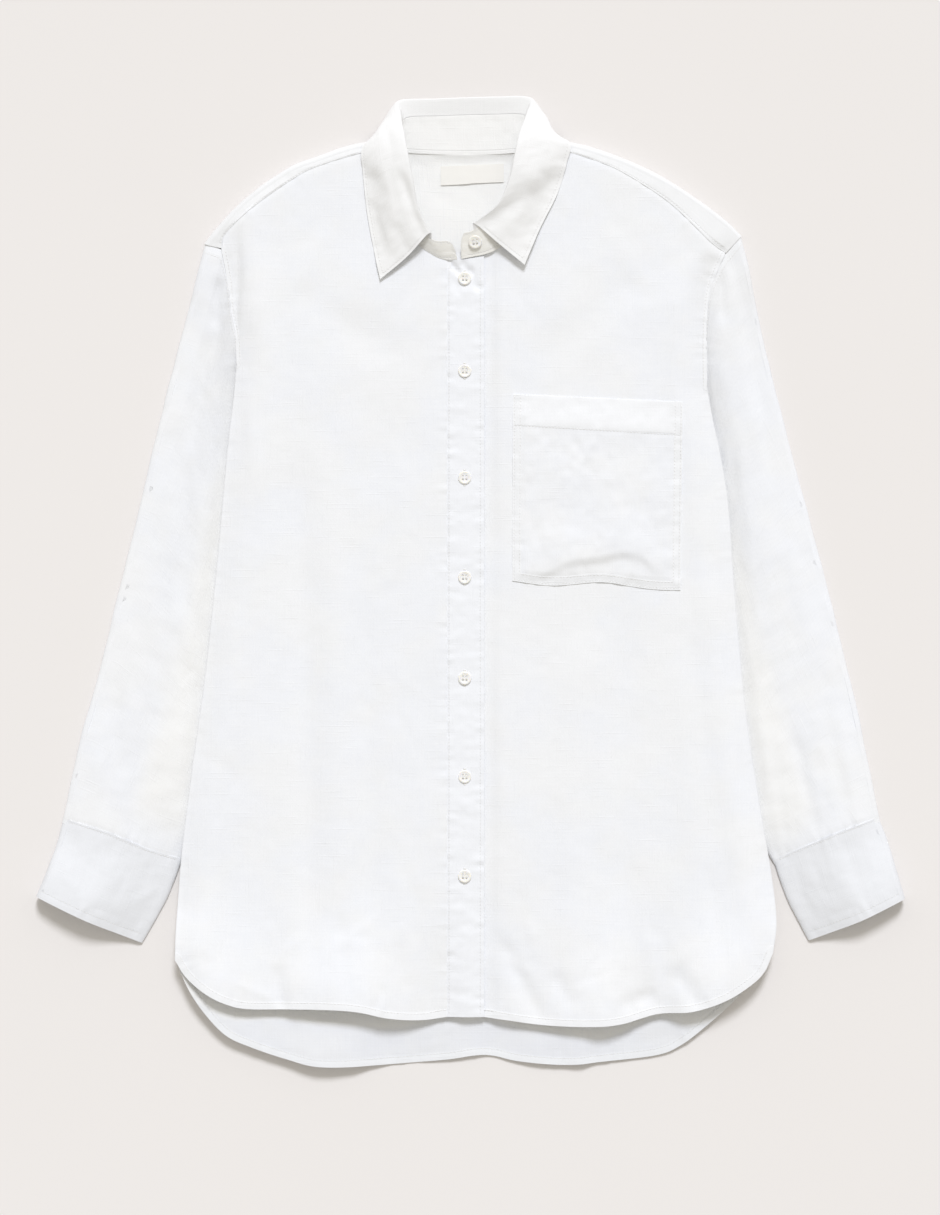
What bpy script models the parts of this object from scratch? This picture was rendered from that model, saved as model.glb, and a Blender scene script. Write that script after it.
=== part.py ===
"""A white linen shirt, buttoned and laid flat on its back with the sleeves down beside the body.

The frame: +X is the right of the laid shirt as seen from above, +Y runs from the hem to the collar and
+Z is up from the surface. The origin is under the middle of the shirt's outline. Lengths in the tables are
millimetres. Right and left in the names of pieces are the wearer's, so the right front lies at -X.
"""

import math
from collections import namedtuple

import bmesh
import bpy
import numpy as np
from mathutils import Vector

MM = 0.001

# Cloth
WALL = 1.3
CUFF_WALL = 1.6
SEAM_GAP = 0.3
TUBE_END_GAP = 0.8
YOKE_SEAM_GAP = 1.1
LAP_DROP = 2.2
COLLAR_SEAM_GAP = 1.0
UNDERLAP = 4.0

# How high the layers lie
SLEEVE_HEIGHT = 9.4
CUFF_HEIGHT = 10.0
BACK_OVER_SLEEVE = 10.0
RAMP_FROM = 26.0
RAMP_TO = 56.0
CLIMB_FROM = 14.0
CLIMB_TO = 62.0
EDGE_ROLL = 2.6
EDGE_ROLL_AT = 20.0
EDGE_ROLL_WIDTH = 14.0
EDGE_BLEND = 34.0
SIDE_SEAM_GAP = 0.6
LAYER_CLEARANCE = 1.2
LOFT_AT_Y = (-380.0, -200.0, 235.0, 290.0)
LOFT = (10.0, 12.0, 12.0, 10.5)

# The front closure
PLACKET_LEFT = -20.0
PLACKET_RIGHT = 11.5
PLACKET_TOP = 272.0
BUTTON_X = -5.0
BUTTON_Y = (259.0, 180.0, 89.0, 4.0, -82.0, -166.0, -251.0)
BUTTON_DIAMETER = 11.4
BUTTON_HEIGHT = 2.4
BUTTON_RIM = 1.6
BUTTON_DISH = 1.5
BUTTON_SIDES = 16
STAND_BUTTON_AT = 0.965

# The pocket: corners x, y, in order top left, top right, bottom right, bottom left
POCKET = ((36.0, 160.0), (181.0, 153.5), (179.0, -7.0), (35.5, 1.0))
POCKET_PUFF = 1.6

# The neck label
LABEL_CENTRE = (1.5, 349.0)
LABEL_SIZE = (54.0, 16.0)
LABEL_WALL = 1.0

# Outlines seen from above: x, y in mm
BODY_EDGE_RIGHT_SIDE = (  # image left, from the side seam's foot up to the yoke seam's end
    (-252, -322), (-251, -289), (-247, -234), (-239, -168), (-227, -81), (-217, 12),
    (-208, 110), (-203, 153), (-200, 186),
)
ARMHOLE_RIGHT_SIDE = ((-200, 186), (-201, 208), (-206, 231), (-208, 258), (-213, 285))
BODY_EDGE_LEFT_SIDE = (
    (258, -316), (261, -289), (257, -250), (246, -184), (235, -110), (226, -15), (219, 76),
    (206, 144), (202, 167),
)
ARMHOLE_LEFT_SIDE = ((202, 167), (202, 213), (205, 247), (211, 266), (218, 281))
FRONT_HEM = (
    (-252, -322), (-242, -337), (-225, -351), (-207, -360), (-186, -364), (-129, -364),
    (-97, -366), (-70, -372), (-42, -374), (-20, -371), (11, -371), (31, -374), (62, -378),
    (97, -379), (128, -377), (159, -369), (189, -366), (214, -358), (232, -348), (249, -334),
    (258, -316),
)
BACK_HEM = (
    (-252, -322), (-240, -349), (-225, -371), (-208, -388), (-186, -398), (-156, -408),
    (-129, -414), (-83, -413.5), (-24, -409), (4, -405), (20, -405.5), (41, -410), (81, -413),
    (117, -410), (159, -405), (179, -397), (200, -381), (230, -353), (258, -316),
)
NECK_RIGHT_SIDE = ((-94, 366), (-80, 345), (-68, 318), (-48, 292), (-20, 274))
NECK_LEFT_SIDE = ((11, 276), (32, 296), (52, 322), (68, 345), (84, 367))

SLEEVE_OUTER_RIGHT = (
    (-229, 289), (-237, 258), (-252, 198), (-271, 121), (-295, 19), (-320, -84), (-334, -135),
    (-348, -202),
)
SLEEVE_OUTER_LEFT = (
    (233, 296), (241, 262), (254, 198), (274, 117), (300, 19), (325, -84), (336, -135), (349, -201),
)
SLEEVE_HEAD_RIGHT = ((-229, 289), (-214, 283), (-208.5, 258), (-206.5, 231), (-201.5, 208), (-200, 186))
SLEEVE_HEAD_LEFT = ((233, 296), (219.5, 280), (212, 266), (205.5, 247), (202.5, 213), (202, 167))
SLEEVE_UNDER_RIGHT = ((-200, 186), (-187, 167), (-168, 151), (-155, 136))  # from the underarm, under the body
SLEEVE_UNDER_LEFT = ((202, 167), (188, 149), (168, 133), (154, 118))
SLEEVE_FOLD_RIGHT = (  # the inner edge, under the body down to the cuff
    (-155, 136), (-152, 110), (-152, 70), (-161, 19), (-174, -32), (-187, -84), (-202, -135),
    (-225, -186), (-247, -237),
)
SLEEVE_FOLD_LEFT = (
    (154, 118), (152, 90), (155, 53), (167, 2), (181, -50), (194, -101), (212, -152), (237, -203),
    (259, -238),
)
CUFF_SEAM_RIGHT = ((-348, -202), (-310, -214), (-274, -229), (-247, -237))
CUFF_SEAM_LEFT = ((349, -201), (322, -211), (288, -225), (259, -238))
CUFF_HEM_RIGHT = ((-371, -268), (-325, -290), (-281, -309))
CUFF_HEM_LEFT = ((371, -270), (330, -290), (289, -307))
CUFF_OUTER_RIGHT = ((-348, -202), (-356, -230), (-371, -268))
CUFF_OUTER_LEFT = ((349, -201), (359, -228), (371, -270))
CUFF_INNER_RIGHT = ((-247, -237), (-260, -271), (-281, -309))
CUFF_INNER_LEFT = ((259, -238), (271, -271), (289, -307))

# Soft folds: start x, y, end x, y, half width, depth (a ridge has a negative depth), all in mm
BODY_FOLDS = (
    (-146, 95, -138, -320, 12, 2.6),
    (-116, 60, -112, -300, 13, -1.8),
    (-88, -20, -86, -290, 11, 1.4),
    (-176, 130, -190, -200, 12, -1.2),
    (135, -30, 128, -290, 15, 1.8),
    (90, -60, 84, -330, 12, -1.4),
    (178, -60, 196, -300, 13, -1.4),
    (26, -306, 60, -372, 7, 2.0),
    (72, -335, 88, -362, 7, 1.4),
    (176, -330, 198, -366, 9, 2.2),
    (128, -362, 158, -352, 7, 1.4),
    (-166, -330, -158, -364, 6, 1.6),
    (-150, 250, -60, 190, 16, 1.4),
    (150, 262, 60, 190, 16, 1.2),
)
SLEEVE_FOLDS = (
    (-215, 256, -219, 219, 6, 2.4),
    (-219, 219, -240, 120, 7, 2.6),
    (-240, 120, -246, -10, 8, 1.8),
    (-262, 150, -282, 40, 8, -1.0),
    (-300, -90, -312, -200, 7, 1.6),
    (-276, -110, -290, -214, 6, 1.3),
    (223, 282, 237, 231, 6, 2.6),
    (237, 231, 253, 132, 7, 2.6),
    (253, 132, 262, 40, 9, 1.4),
    (214, 262, 216, 224, 4, 1.8),
    (300, -70, 318, -196, 8, 1.6),
    (276, -130, 296, -214, 6, 1.4),
)

# The yoke's sections from one shoulder tip to the other. front is its edge on the fronts or on the neck,
# with a height only at the neck; ridge is the shoulder fold, with half the fold's height, which the neck
# hasn't; back is the seam with the back panel.
YokeRow = namedtuple("YokeRow", "front height ridge half back")
YOKE_ROWS = (
    YokeRow((-213, 285), None, (-228, 289), 4.7, (-211.5, 283)),
    YokeRow((-209, 298), None, (-217, 303), 4.8, (-200, 281.5)),
    YokeRow((-183, 322), None, (-193, 328), 5.0, (-178, 279.5)),
    YokeRow((-147, 347), None, (-158, 353), 5.0, (-145, 278)),
    YokeRow((-127, 356), None, (-134, 363), 5.0, (-122, 277.5)),
    YokeRow((-94, 366), None, (-95, 375.5), 5.0, (-90, 277)),
    YokeRow((-80, 368), 6.0, (-77, 372.5), 2.8, (-72, 277)),
    YokeRow((-62, 370), 3.2, None, None, (-56, 278)),
    YokeRow((-40, 368), 2.0, None, None, (-38, 278)),
    YokeRow((-5, 366), 1.8, None, None, (-5, 278)),
    YokeRow((30, 368), 2.0, None, None, (28, 278)),
    YokeRow((52, 372), 3.2, None, None, (46, 278)),
    YokeRow((70, 370), 6.0, (68, 374.5), 2.8, (62, 277)),
    YokeRow((84, 367), None, (86, 376), 5.0, (80, 277)),
    YokeRow((119, 355), None, (126, 364), 5.0, (114, 277)),
    YokeRow((146, 340), None, (155, 351), 5.0, (142, 277)),
    YokeRow((173, 321), None, (183, 335), 5.0, (172, 277)),
    YokeRow((204, 291), None, (216, 311), 4.8, (203, 278)),
    YokeRow((218, 281), None, (232, 296), 4.7, (216.5, 279.5)),
)
NECK_FROM_ROW = 5
NECK_TO_ROW = 13
NECK_SLOPE = 13.0

# The collar from the wearer's right front round the neck to the left front: the foot and top of the stand,
# the fold where the leaf turns over, a point on the leaf halfway down, and its outer edge.
CollarRow = namedtuple("CollarRow", "place foot top fold over edge")
COLLAR_ROWS = (
    CollarRow("right front", (-30, 281, 13.4), (-33, 292, 18), (-36, 296, 22.5),
              (-54, 277, 18.5), (-77, 258, 14.8)),
    CollarRow("right fall", (-58, 304, 13.2), (-45, 314, 21.5), (-47, 318, 26),
              (-65, 300, 22.5), (-82, 281, 15.5)),
    CollarRow("right low", (-72, 327, 13.1), (-51, 339, 24), (-51, 343, 29.5),
              (-70, 330, 26), (-88, 313, 15.5)),
    CollarRow("right side", (-80, 348, 13), (-56, 359, 24), (-55, 364, 29.5),
              (-76, 356, 25), (-91.5, 346, 15)),
    CollarRow("right shoulder", (-80, 366, 11.8), (-59, 374, 20.5), (-58, 381, 26),
              (-78, 377, 21), (-92, 372, 13)),
    CollarRow("right corner", (-70, 374, 8.5), (-57, 386, 15.5), (-61, 398, 17),
              (-76, 391, 10), (-77, 380, 4.2)),
    CollarRow("back right", (-54, 371.5, 5.2), (-50, 392, 10.8), (-60, 410.5, 9.5),
              (-66, 396, 3.6), (-61, 381, 1.5)),
    CollarRow("back", (-30, 369.5, 3.9), (-29, 396, 8.8), (-30, 412.6, 5.4),
              (-30, 398, 1.3), (-30, 377, 0.75)),
    CollarRow("middle", (-5, 369, 3.7), (-4, 398, 8.6), (-4, 413.8, 5.2),
              (-4, 399, 1.2), (-4, 377, 0.75)),
    CollarRow("back again", (20, 369.5, 3.9), (21, 399, 8.8), (22, 414.4, 5.4),
              (22, 400, 1.3), (22, 378, 0.75)),
    CollarRow("back left", (41, 372.5, 5.2), (40, 396, 10.8), (50.5, 413, 9.5),
              (56, 399, 3.6), (51, 383, 1.5)),
    CollarRow("left corner", (58, 376, 8.5), (45, 388, 15.5), (49, 400, 17),
              (66, 394, 10), (67, 382, 4.2)),
    CollarRow("left shoulder", (69, 368, 11.8), (45, 376, 20.5), (43, 382, 26),
              (64, 379, 21), (84.5, 374, 13)),
    CollarRow("left side", (70, 350, 13), (41, 358, 24), (39, 363, 29.5),
              (60, 360, 25), (81.5, 356, 15)),
    CollarRow("left low", (62, 330, 13.1), (35, 337, 24), (34, 341, 29),
              (54, 338, 25.5), (74, 331, 15.5)),
    CollarRow("left fall", (46, 308, 13.2), (23, 316, 21), (24, 320, 25.5),
              (41, 311, 22.5), (59, 301, 15.5)),
    CollarRow("left front", (20, 286, 13.4), (3, 300, 18), (4, 304.5, 21),
              (24, 288, 18.5), (46, 270, 14.8)),
)
# The stand runs on past the leaf at both fronts: its foot and top there.
STAND_RIGHT_END = (-12, 278, 13.4, -15, 291, 17)
STAND_LEFT_END = (-8, 279, 12.6, -9, 297, 16)

# Grids: how many faces each piece has along and across
BODY_COLUMNS = 15
BODY_ROWS = 20
BACK_COLUMNS = 24
BACK_COLUMN_STOPS = (0, 9 / 24, 15 / 24, 1)  # the columns lie closer together at both sides
BACK_COLUMN_PLACES = (0, 0.19, 0.81, 1)
SLEEVE_STATIONS = 16
CUFF_STATIONS = 3
RING_TOP = 11
RING_TURN = 4
RING_UNDER = 3
RING_FACES = RING_TOP + RING_UNDER + 2 * RING_TURN
YOKE_COLUMNS = 36
YOKE_ROWS_ROUND = 11
SEAM_POINTS = 16
YOKE_FRONT_SHARE = 2 / 11
YOKE_BACK_FROM = 8 / 11
STATIONS_PER_ROW = 2
LEAF_COLUMNS = 9

LINEN = (0.86, 0.86, 0.87)
INNER_LINEN = (0.84, 0.83, 0.80)
SHELL = (0.83, 0.80, 0.72)


def material(name, colour, roughness):
    made = bpy.data.materials.new(name)
    made.use_nodes = True
    shader = made.node_tree.nodes["Principled BSDF"]
    shader.inputs["Base Color"].default_value = (*colour, 1.0)
    shader.inputs["Roughness"].default_value = roughness
    shader.inputs["Metallic"].default_value = 0.0
    return made


def smoothstep(low, high, value):
    t = min(max((value - low) / (high - low), 0.0), 1.0)
    return t * t * (3 - 2 * t)


def mix(a, b, t):
    return a + (b - a) * t


def curve_through(*tables):
    """A function of 0..1 that runs evenly along smooth curves through the tables, with a corner where two meet."""
    fine = []
    for table in tables:
        points = np.array(table, float)
        ends = np.vstack([2 * points[0] - points[1], points, 2 * points[-1] - points[-2]])
        for index in range(len(points) - 1):
            fine += [smooth_step_point(ends[index : index + 4], t) for t in np.arange(0, 1, 1 / 16)]
    fine.append(np.array(tables[-1][-1], float))
    fine = np.array(fine)
    run = np.concatenate([[0], np.cumsum(np.linalg.norm(np.diff(fine, axis=0), axis=1))])

    def at(t):
        where = t * run[-1]
        return np.array([np.interp(where, run, fine[:, i]) for i in range(fine.shape[1])])

    return at


def smooth_step_point(four, t):
    """The point at t between the middle two of four points, on the smooth curve through them."""
    a, b, c, d = four
    bend = (2 * a - 5 * b + 4 * c - d) * t * t + (3 * b - a - 3 * c + d) * t**3
    return 0.5 * (2 * b + (c - a) * t + bend)


def lofted(rows):
    """A function of 0..1 that blends smoothly from row to row of numbers, each row an equal step."""
    points = np.array(rows, float)
    ends = np.vstack([2 * points[0] - points[1], points, 2 * points[-1] - points[-2]])

    def at(u):
        place = min(u, 0.999999) * (len(points) - 1)
        index = int(place)
        return smooth_step_point(ends[index : index + 4], place - index)

    return at


def patch(foot, top, left, right):
    """A point for each (u, v) inside four boundary curves: u from left to right, v from foot to top."""

    def at(u, v):
        sides = mix(left(v), right(v), u)
        ends = mix(foot(u), top(u), v)
        corners = mix(mix(foot(0), foot(1), u), mix(top(0), top(1), u), v)
        return sides + ends - corners

    return at


def fold_depth(folds, x, y):
    """How deep the soft folds press the cloth down at a point."""
    depth = 0.0
    for x0, y0, x1, y1, half_width, most in folds:
        along_x, along_y = x1 - x0, y1 - y0
        length = math.hypot(along_x, along_y)
        t = ((x - x0) * along_x + (y - y0) * along_y) / length**2
        across = abs((x - x0) * along_y - (y - y0) * along_x) / length
        reach = smoothstep(-0.18, 0.2, t) * smoothstep(1.18, 0.8, t)
        depth += most * reach * math.exp(-((across / half_width) ** 2))
    return depth


def side_table(*tables):
    """Two arrays, y rising and x, of a side outline, for reading x at a height y."""
    outline = curve_through(*tables)
    points = np.array([outline(t) for t in np.linspace(0, 1, 200)])
    order = np.argsort(points[:, 1])
    return points[order, 1], points[order, 0]


EDGE_X = {
    -1: side_table(BODY_EDGE_RIGHT_SIDE, ARMHOLE_RIGHT_SIDE),
    1: side_table(BODY_EDGE_LEFT_SIDE, ARMHOLE_LEFT_SIDE),
}
FOLD_X = {
    -1: side_table(SLEEVE_FOLD_RIGHT[::-1], SLEEVE_UNDER_RIGHT[::-1], ARMHOLE_RIGHT_SIDE),
    1: side_table(SLEEVE_FOLD_LEFT[::-1], SLEEVE_UNDER_LEFT[::-1], ARMHOLE_LEFT_SIDE),
}
CUFF_X = {
    -1: side_table(CUFF_INNER_RIGHT[::-1]),
    1: side_table(CUFF_INNER_LEFT[::-1]),
}
UNDERARM_Y = {-1: ARMHOLE_RIGHT_SIDE[0][1], 1: ARMHOLE_LEFT_SIDE[0][1]}


def inner_edge_x(side, y):
    """The x of the sleeve's inner edge, or of the cuff's below it, or of the armhole above the underarm."""
    heights, places = FOLD_X[side]
    if y >= heights[0]:
        return np.interp(y, heights, places)
    heights, places = CUFF_X[side]
    if y >= heights[0]:
        return np.interp(y, heights, places)
    return places[0] + side * (heights[0] - y) * 0.6


def back_height(x, y):
    """The height of the back's underside: flat on the surface, and up over each sleeve's inner part."""
    side = -1 if x < 0 else 1
    inward = (inner_edge_x(side, y) - x) * side
    lifted = BACK_OVER_SLEEVE * smoothstep(RAMP_TO, RAMP_FROM, inward)
    return lifted * smoothstep(UNDERARM_Y[side] + CLIMB_TO, UNDERARM_Y[side] + CLIMB_FROM, y)


def front_height(x, y):
    """The height of the fronts' underside, from the side seams over the loft to the closure."""
    side = -1 if x < 0 else 1
    heights, places = EDGE_X[side]
    edge_x = np.interp(y, heights, places)
    inward = max((edge_x - x) * side, 0.0)
    edge = back_height(edge_x, y) + WALL + SIDE_SEAM_GAP
    if y > UNDERARM_Y[side]:
        edge = max(edge, SLEEVE_HEIGHT - WALL)
    loft = np.interp(y, LOFT_AT_Y, LOFT) - fold_depth(BODY_FOLDS, x, y)
    roll = EDGE_ROLL * math.exp(-(((inward - EDGE_ROLL_AT) / EDGE_ROLL_WIDTH) ** 2))
    height = mix(edge, loft, smoothstep(0, EDGE_BLEND, inward)) + roll * smoothstep(0, 8, inward)
    clearance = mix(SIDE_SEAM_GAP, LAYER_CLEARANCE, smoothstep(0, 8, inward))
    return max(height, back_height(x, y) + WALL + clearance)


def shaped_grid(columns, rows, point_at):
    """A grid of faces whose points are put where point_at(u, v) says."""
    mesh = bmesh.new()
    bmesh.ops.create_grid(mesh, x_segments=columns, y_segments=rows, size=0.5)
    for vertex in mesh.verts:
        u, v = vertex.co.x + 0.5, vertex.co.y + 0.5
        vertex.co = [value * MM for value in point_at(u, v)]
    return mesh


def finished_object(name, mesh, finish):
    data = bpy.data.meshes.new(name)
    mesh.to_mesh(data)
    mesh.free()
    data.shade_smooth()
    data.set_sharp_from_angle(angle=math.radians(60))
    data.materials.append(finish)
    made = bpy.data.objects.new(name, data)
    bpy.context.scene.collection.objects.link(made)
    return made


def lying_panel(name, columns, rows, point_at, wall, finish):
    """A panel that lies flat: point_at gives its underside, and its wall stands straight up from that."""
    mesh = shaped_grid(columns, rows, point_at)
    underside = mesh.faces[:]
    raised = bmesh.ops.extrude_face_region(mesh, geom=underside, use_keep_orig=True)
    tops = [item for item in raised["geom"] if isinstance(item, bmesh.types.BMVert)]
    bmesh.ops.translate(mesh, verts=tops, vec=(0, 0, wall * MM))
    bmesh.ops.recalc_face_normals(mesh, faces=mesh.faces)
    return finished_object(name, mesh, finish)


def shell(name, mesh, wall, offset, finish):
    """A curved sheet, thickened to a wall by a Solidify modifier."""
    sheet = finished_object(name, mesh, finish)
    solidify = sheet.modifiers.new("cloth", "SOLIDIFY")
    solidify.thickness = wall * MM
    solidify.offset = offset
    return sheet


def flattened_ring(k, width, height):
    """A point of a flattened tube's section for k in 0..1: how far across (0..1), and its height."""
    radius = height / 2
    faces = k * RING_FACES
    if faces < RING_TOP:
        return mix(radius, width - radius, faces / RING_TOP) / width, height
    faces -= RING_TOP
    if faces < RING_TURN:
        angle = math.pi * faces / RING_TURN
        return (width - radius + radius * math.sin(angle)) / width, radius + radius * math.cos(angle)
    faces -= RING_TURN
    if faces < RING_UNDER:
        return mix(width - radius, radius, faces / RING_UNDER) / width, 0.0
    angle = math.pi * (faces - RING_UNDER) / RING_TURN
    return (radius - radius * math.sin(angle)) / width, radius - radius * math.cos(angle)


def tube_object(name, area, stations, height, wall, folds, finish):
    """A flattened tube of cloth over an outline patch, whose v runs from its lower to its upper end."""

    def point_at(u, v):
        width = np.linalg.norm(area(1, v) - area(0, v))
        across, z = flattened_ring(u % 1.0, width, height)
        x, y = area(across, v)
        if z > height * 0.7:
            middle = smoothstep(0.0, 0.12, across) * smoothstep(1.0, 0.88, across)
            z -= fold_depth(folds, x, y) * middle
        return x, y, z

    mesh = shaped_grid(RING_FACES, stations, point_at)
    bmesh.ops.remove_doubles(mesh, verts=mesh.verts, dist=0.00001)
    upper = [face for face in mesh.faces if face.calc_center_median().z > 0.8 * height * MM]
    mesh.normal_update()
    if sum(face.normal.z for face in upper) < 0:
        bmesh.ops.reverse_faces(mesh, faces=mesh.faces)
    return shell(name, mesh, wall, -1.0, finish)


def between_ends(area, foot_shift, top_shift):
    """The same area with its lower and its upper end shifted, which leaves the gaps of its seams."""
    return lambda u, v: area(u, v) + mix(np.array(foot_shift), np.array(top_shift), v)


def back_panel(finish):
    yoke_seam = yoke_edge(1, 0, len(YOKE_ROWS) - 1)
    area = patch(
        curve_through(BACK_HEM),
        yoke_seam,
        curve_through(BODY_EDGE_RIGHT_SIDE, (*ARMHOLE_RIGHT_SIDE[:-1], yoke_seam(0))),
        curve_through(BODY_EDGE_LEFT_SIDE, (*ARMHOLE_LEFT_SIDE[:-1], yoke_seam(1))),
    )

    def point_at(u, v):
        across = np.interp(u, BACK_COLUMN_STOPS, BACK_COLUMN_PLACES)
        x, y = area(across, v)
        x += SEAM_GAP * (1 - 2 * across)
        y -= YOKE_SEAM_GAP * v
        return x, y, back_height(x, y)

    return lying_panel("back", BACK_COLUMNS, BODY_ROWS, point_at, WALL, finish)


def front_panels(finish):
    """Both fronts. The left one ends under the placket, lower than it."""
    along = np.linspace(0, 1, SEAM_POINTS)
    right_yoke_seam = [yoke_edge(0, 0, NECK_FROM_ROW)(t) for t in along]
    left_yoke_seam = [yoke_edge(0, NECK_TO_ROW, len(YOKE_ROWS) - 1)(t) for t in along]
    right_area = patch(
        curve_through([point for point in FRONT_HEM if point[0] <= PLACKET_LEFT]),
        curve_through(right_yoke_seam, NECK_RIGHT_SIDE),
        curve_through(BODY_EDGE_RIGHT_SIDE, ARMHOLE_RIGHT_SIDE),
        curve_through([(PLACKET_LEFT, -371), NECK_RIGHT_SIDE[-1]]),
    )
    left_area = patch(
        curve_through([point for point in FRONT_HEM if point[0] >= PLACKET_RIGHT - 1]),
        curve_through(NECK_LEFT_SIDE, left_yoke_seam),
        curve_through([(11, -371), NECK_LEFT_SIDE[0]]),
        curve_through(BODY_EDGE_LEFT_SIDE, ARMHOLE_LEFT_SIDE),
    )

    def right_point(u, v):
        x, y = right_area(u, v)
        x = min(x, PLACKET_LEFT - SEAM_GAP)
        y -= YOKE_SEAM_GAP * v
        return x, y, front_height(x, y)

    def left_point(u, v):
        x, y = left_area(u, v)
        x -= UNDERLAP * smoothstep(30, 0, x - 11)
        y -= YOKE_SEAM_GAP * v
        lower = LAP_DROP * smoothstep(PLACKET_RIGHT + 16, PLACKET_RIGHT + 4, x)
        return x, y, front_height(x, y) - lower

    lying_panel("front_right", BODY_COLUMNS, BODY_ROWS, right_point, WALL, finish)
    lying_panel("front_left", BODY_COLUMNS, BODY_ROWS, left_point, WALL, finish)


def closure(finish):
    """The placket band on top and the button band under it."""

    def placket_point(u, v):
        x = mix(PLACKET_LEFT, PLACKET_RIGHT, u)
        y = mix(-371.5, PLACKET_TOP, v)
        return x, y, front_height(x, y)

    def band_point(u, v):
        x = mix(PLACKET_LEFT + 1.5, 11 - UNDERLAP - SEAM_GAP, u)
        y = mix(-370.0, PLACKET_TOP - 1, v)
        return x, y, front_height(x, y) - LAP_DROP

    lying_panel("placket", 3, 28, placket_point, WALL, finish)
    lying_panel("button_band", 2, 28, band_point, WALL, finish)


def pocket(finish):
    """The patch pocket, on the left front's points moved out, with its pouch a little full."""
    (x0, y0), (x1, y1), (x2, y2), (x3, y3) = POCKET

    def point_at(u, v):
        x = mix(mix(x3, x2, u), mix(x0, x1, u), v)
        y = mix(mix(y3, y2, u), mix(y0, y1, u), v)
        puff = POCKET_PUFF * math.sin(math.pi * u) * math.sin(math.pi * v) ** 0.5
        return x, y, front_height(x, y) + WALL + SEAM_GAP + 0.5 + puff

    lying_panel("pocket", 9, 9, point_at, WALL, finish)


def sleeves_and_cuffs(finish):
    sides = (
        ("right", SLEEVE_OUTER_RIGHT, SLEEVE_FOLD_RIGHT, SLEEVE_HEAD_RIGHT, SLEEVE_UNDER_RIGHT,
         CUFF_SEAM_RIGHT, CUFF_OUTER_RIGHT, CUFF_INNER_RIGHT, CUFF_HEM_RIGHT),
        ("left", SLEEVE_OUTER_LEFT, SLEEVE_FOLD_LEFT, SLEEVE_HEAD_LEFT, SLEEVE_UNDER_LEFT,
         CUFF_SEAM_LEFT, CUFF_OUTER_LEFT, CUFF_INNER_LEFT, CUFF_HEM_LEFT),
    )
    for side, outer, fold, head, under, seam, cuff_outer, cuff_inner, cuff_hem in sides:
        away = -TUBE_END_GAP if side == "right" else TUBE_END_GAP
        sleeve_area = between_ends(
            patch(
                curve_through(seam), curve_through(head[:2], head[1:], under),
                curve_through(outer[::-1]), curve_through(fold[::-1]),
            ),
            (0, TUBE_END_GAP), (away, -TUBE_END_GAP),
        )
        tube_object(f"sleeve_{side}", sleeve_area, SLEEVE_STATIONS, SLEEVE_HEIGHT, WALL, SLEEVE_FOLDS, finish)
        cuff_area = patch(
            curve_through(cuff_hem), curve_through(seam),
            curve_through(cuff_outer[::-1]), curve_through(cuff_inner[::-1]),
        )
        tube_object(f"cuff_{side}", cuff_area, CUFF_STATIONS, CUFF_HEIGHT, CUFF_WALL, (), finish)


def yoke_row_point(row, v):
    """A point of one section of the yoke, from its front edge (v = 0) to the seam with the back (v = 1)."""
    front, back = np.array(row.front, float), np.array(row.back, float)
    height = row.height or front_height(*front) + WALL
    down_the_back = (v - YOKE_BACK_FROM) / (1 - YOKE_BACK_FROM)
    if row.ridge is None:
        inward = (back - front) / np.linalg.norm(back - front)
        foot = front + inward * NECK_SLOPE
        if v < YOKE_BACK_FROM:
            t = v / YOKE_BACK_FROM
            return np.array((*mix(front, foot, t), height * (1 - t) ** 2))
        return np.array((*mix(foot, back, down_the_back), 0.0))
    ridge, half = np.array(row.ridge), row.half
    inward = (back - ridge) / np.linalg.norm(back - ridge)
    crown = ridge + inward * half
    if v < YOKE_FRONT_SHARE:
        t = v / YOKE_FRONT_SHARE
        return np.array((*mix(front, crown, t), mix(height, 2 * half, t)))
    if v < YOKE_BACK_FROM:
        angle = math.pi * (v - YOKE_FRONT_SHARE) / (YOKE_BACK_FROM - YOKE_FRONT_SHARE)
        return np.array((*(crown - inward * half * math.sin(angle)), half + half * math.cos(angle)))
    return np.array((*mix(crown, back, down_the_back), 0.0))


def yoke_edge(v, first, last):
    """A function of 0..1 along one edge of the yoke from one row to another, in plan."""
    whole = lofted([yoke_row_point(row, v)[:2] for row in YOKE_ROWS])
    steps = len(YOKE_ROWS) - 1
    return lambda t: whole(mix(first, last, t) / steps)


def yoke(finish):
    """The yoke: one sheet from its front seams over the shoulder folds to its seam across the back."""

    def point_at(u, v):
        x, y, z = lofted([yoke_row_point(row, v) for row in YOKE_ROWS])(u)
        return x, y, max(z, 0.0)

    shell("yoke", shaped_grid(YOKE_COLUMNS, YOKE_ROWS_ROUND, point_at), WALL, -1.0, finish)


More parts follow.
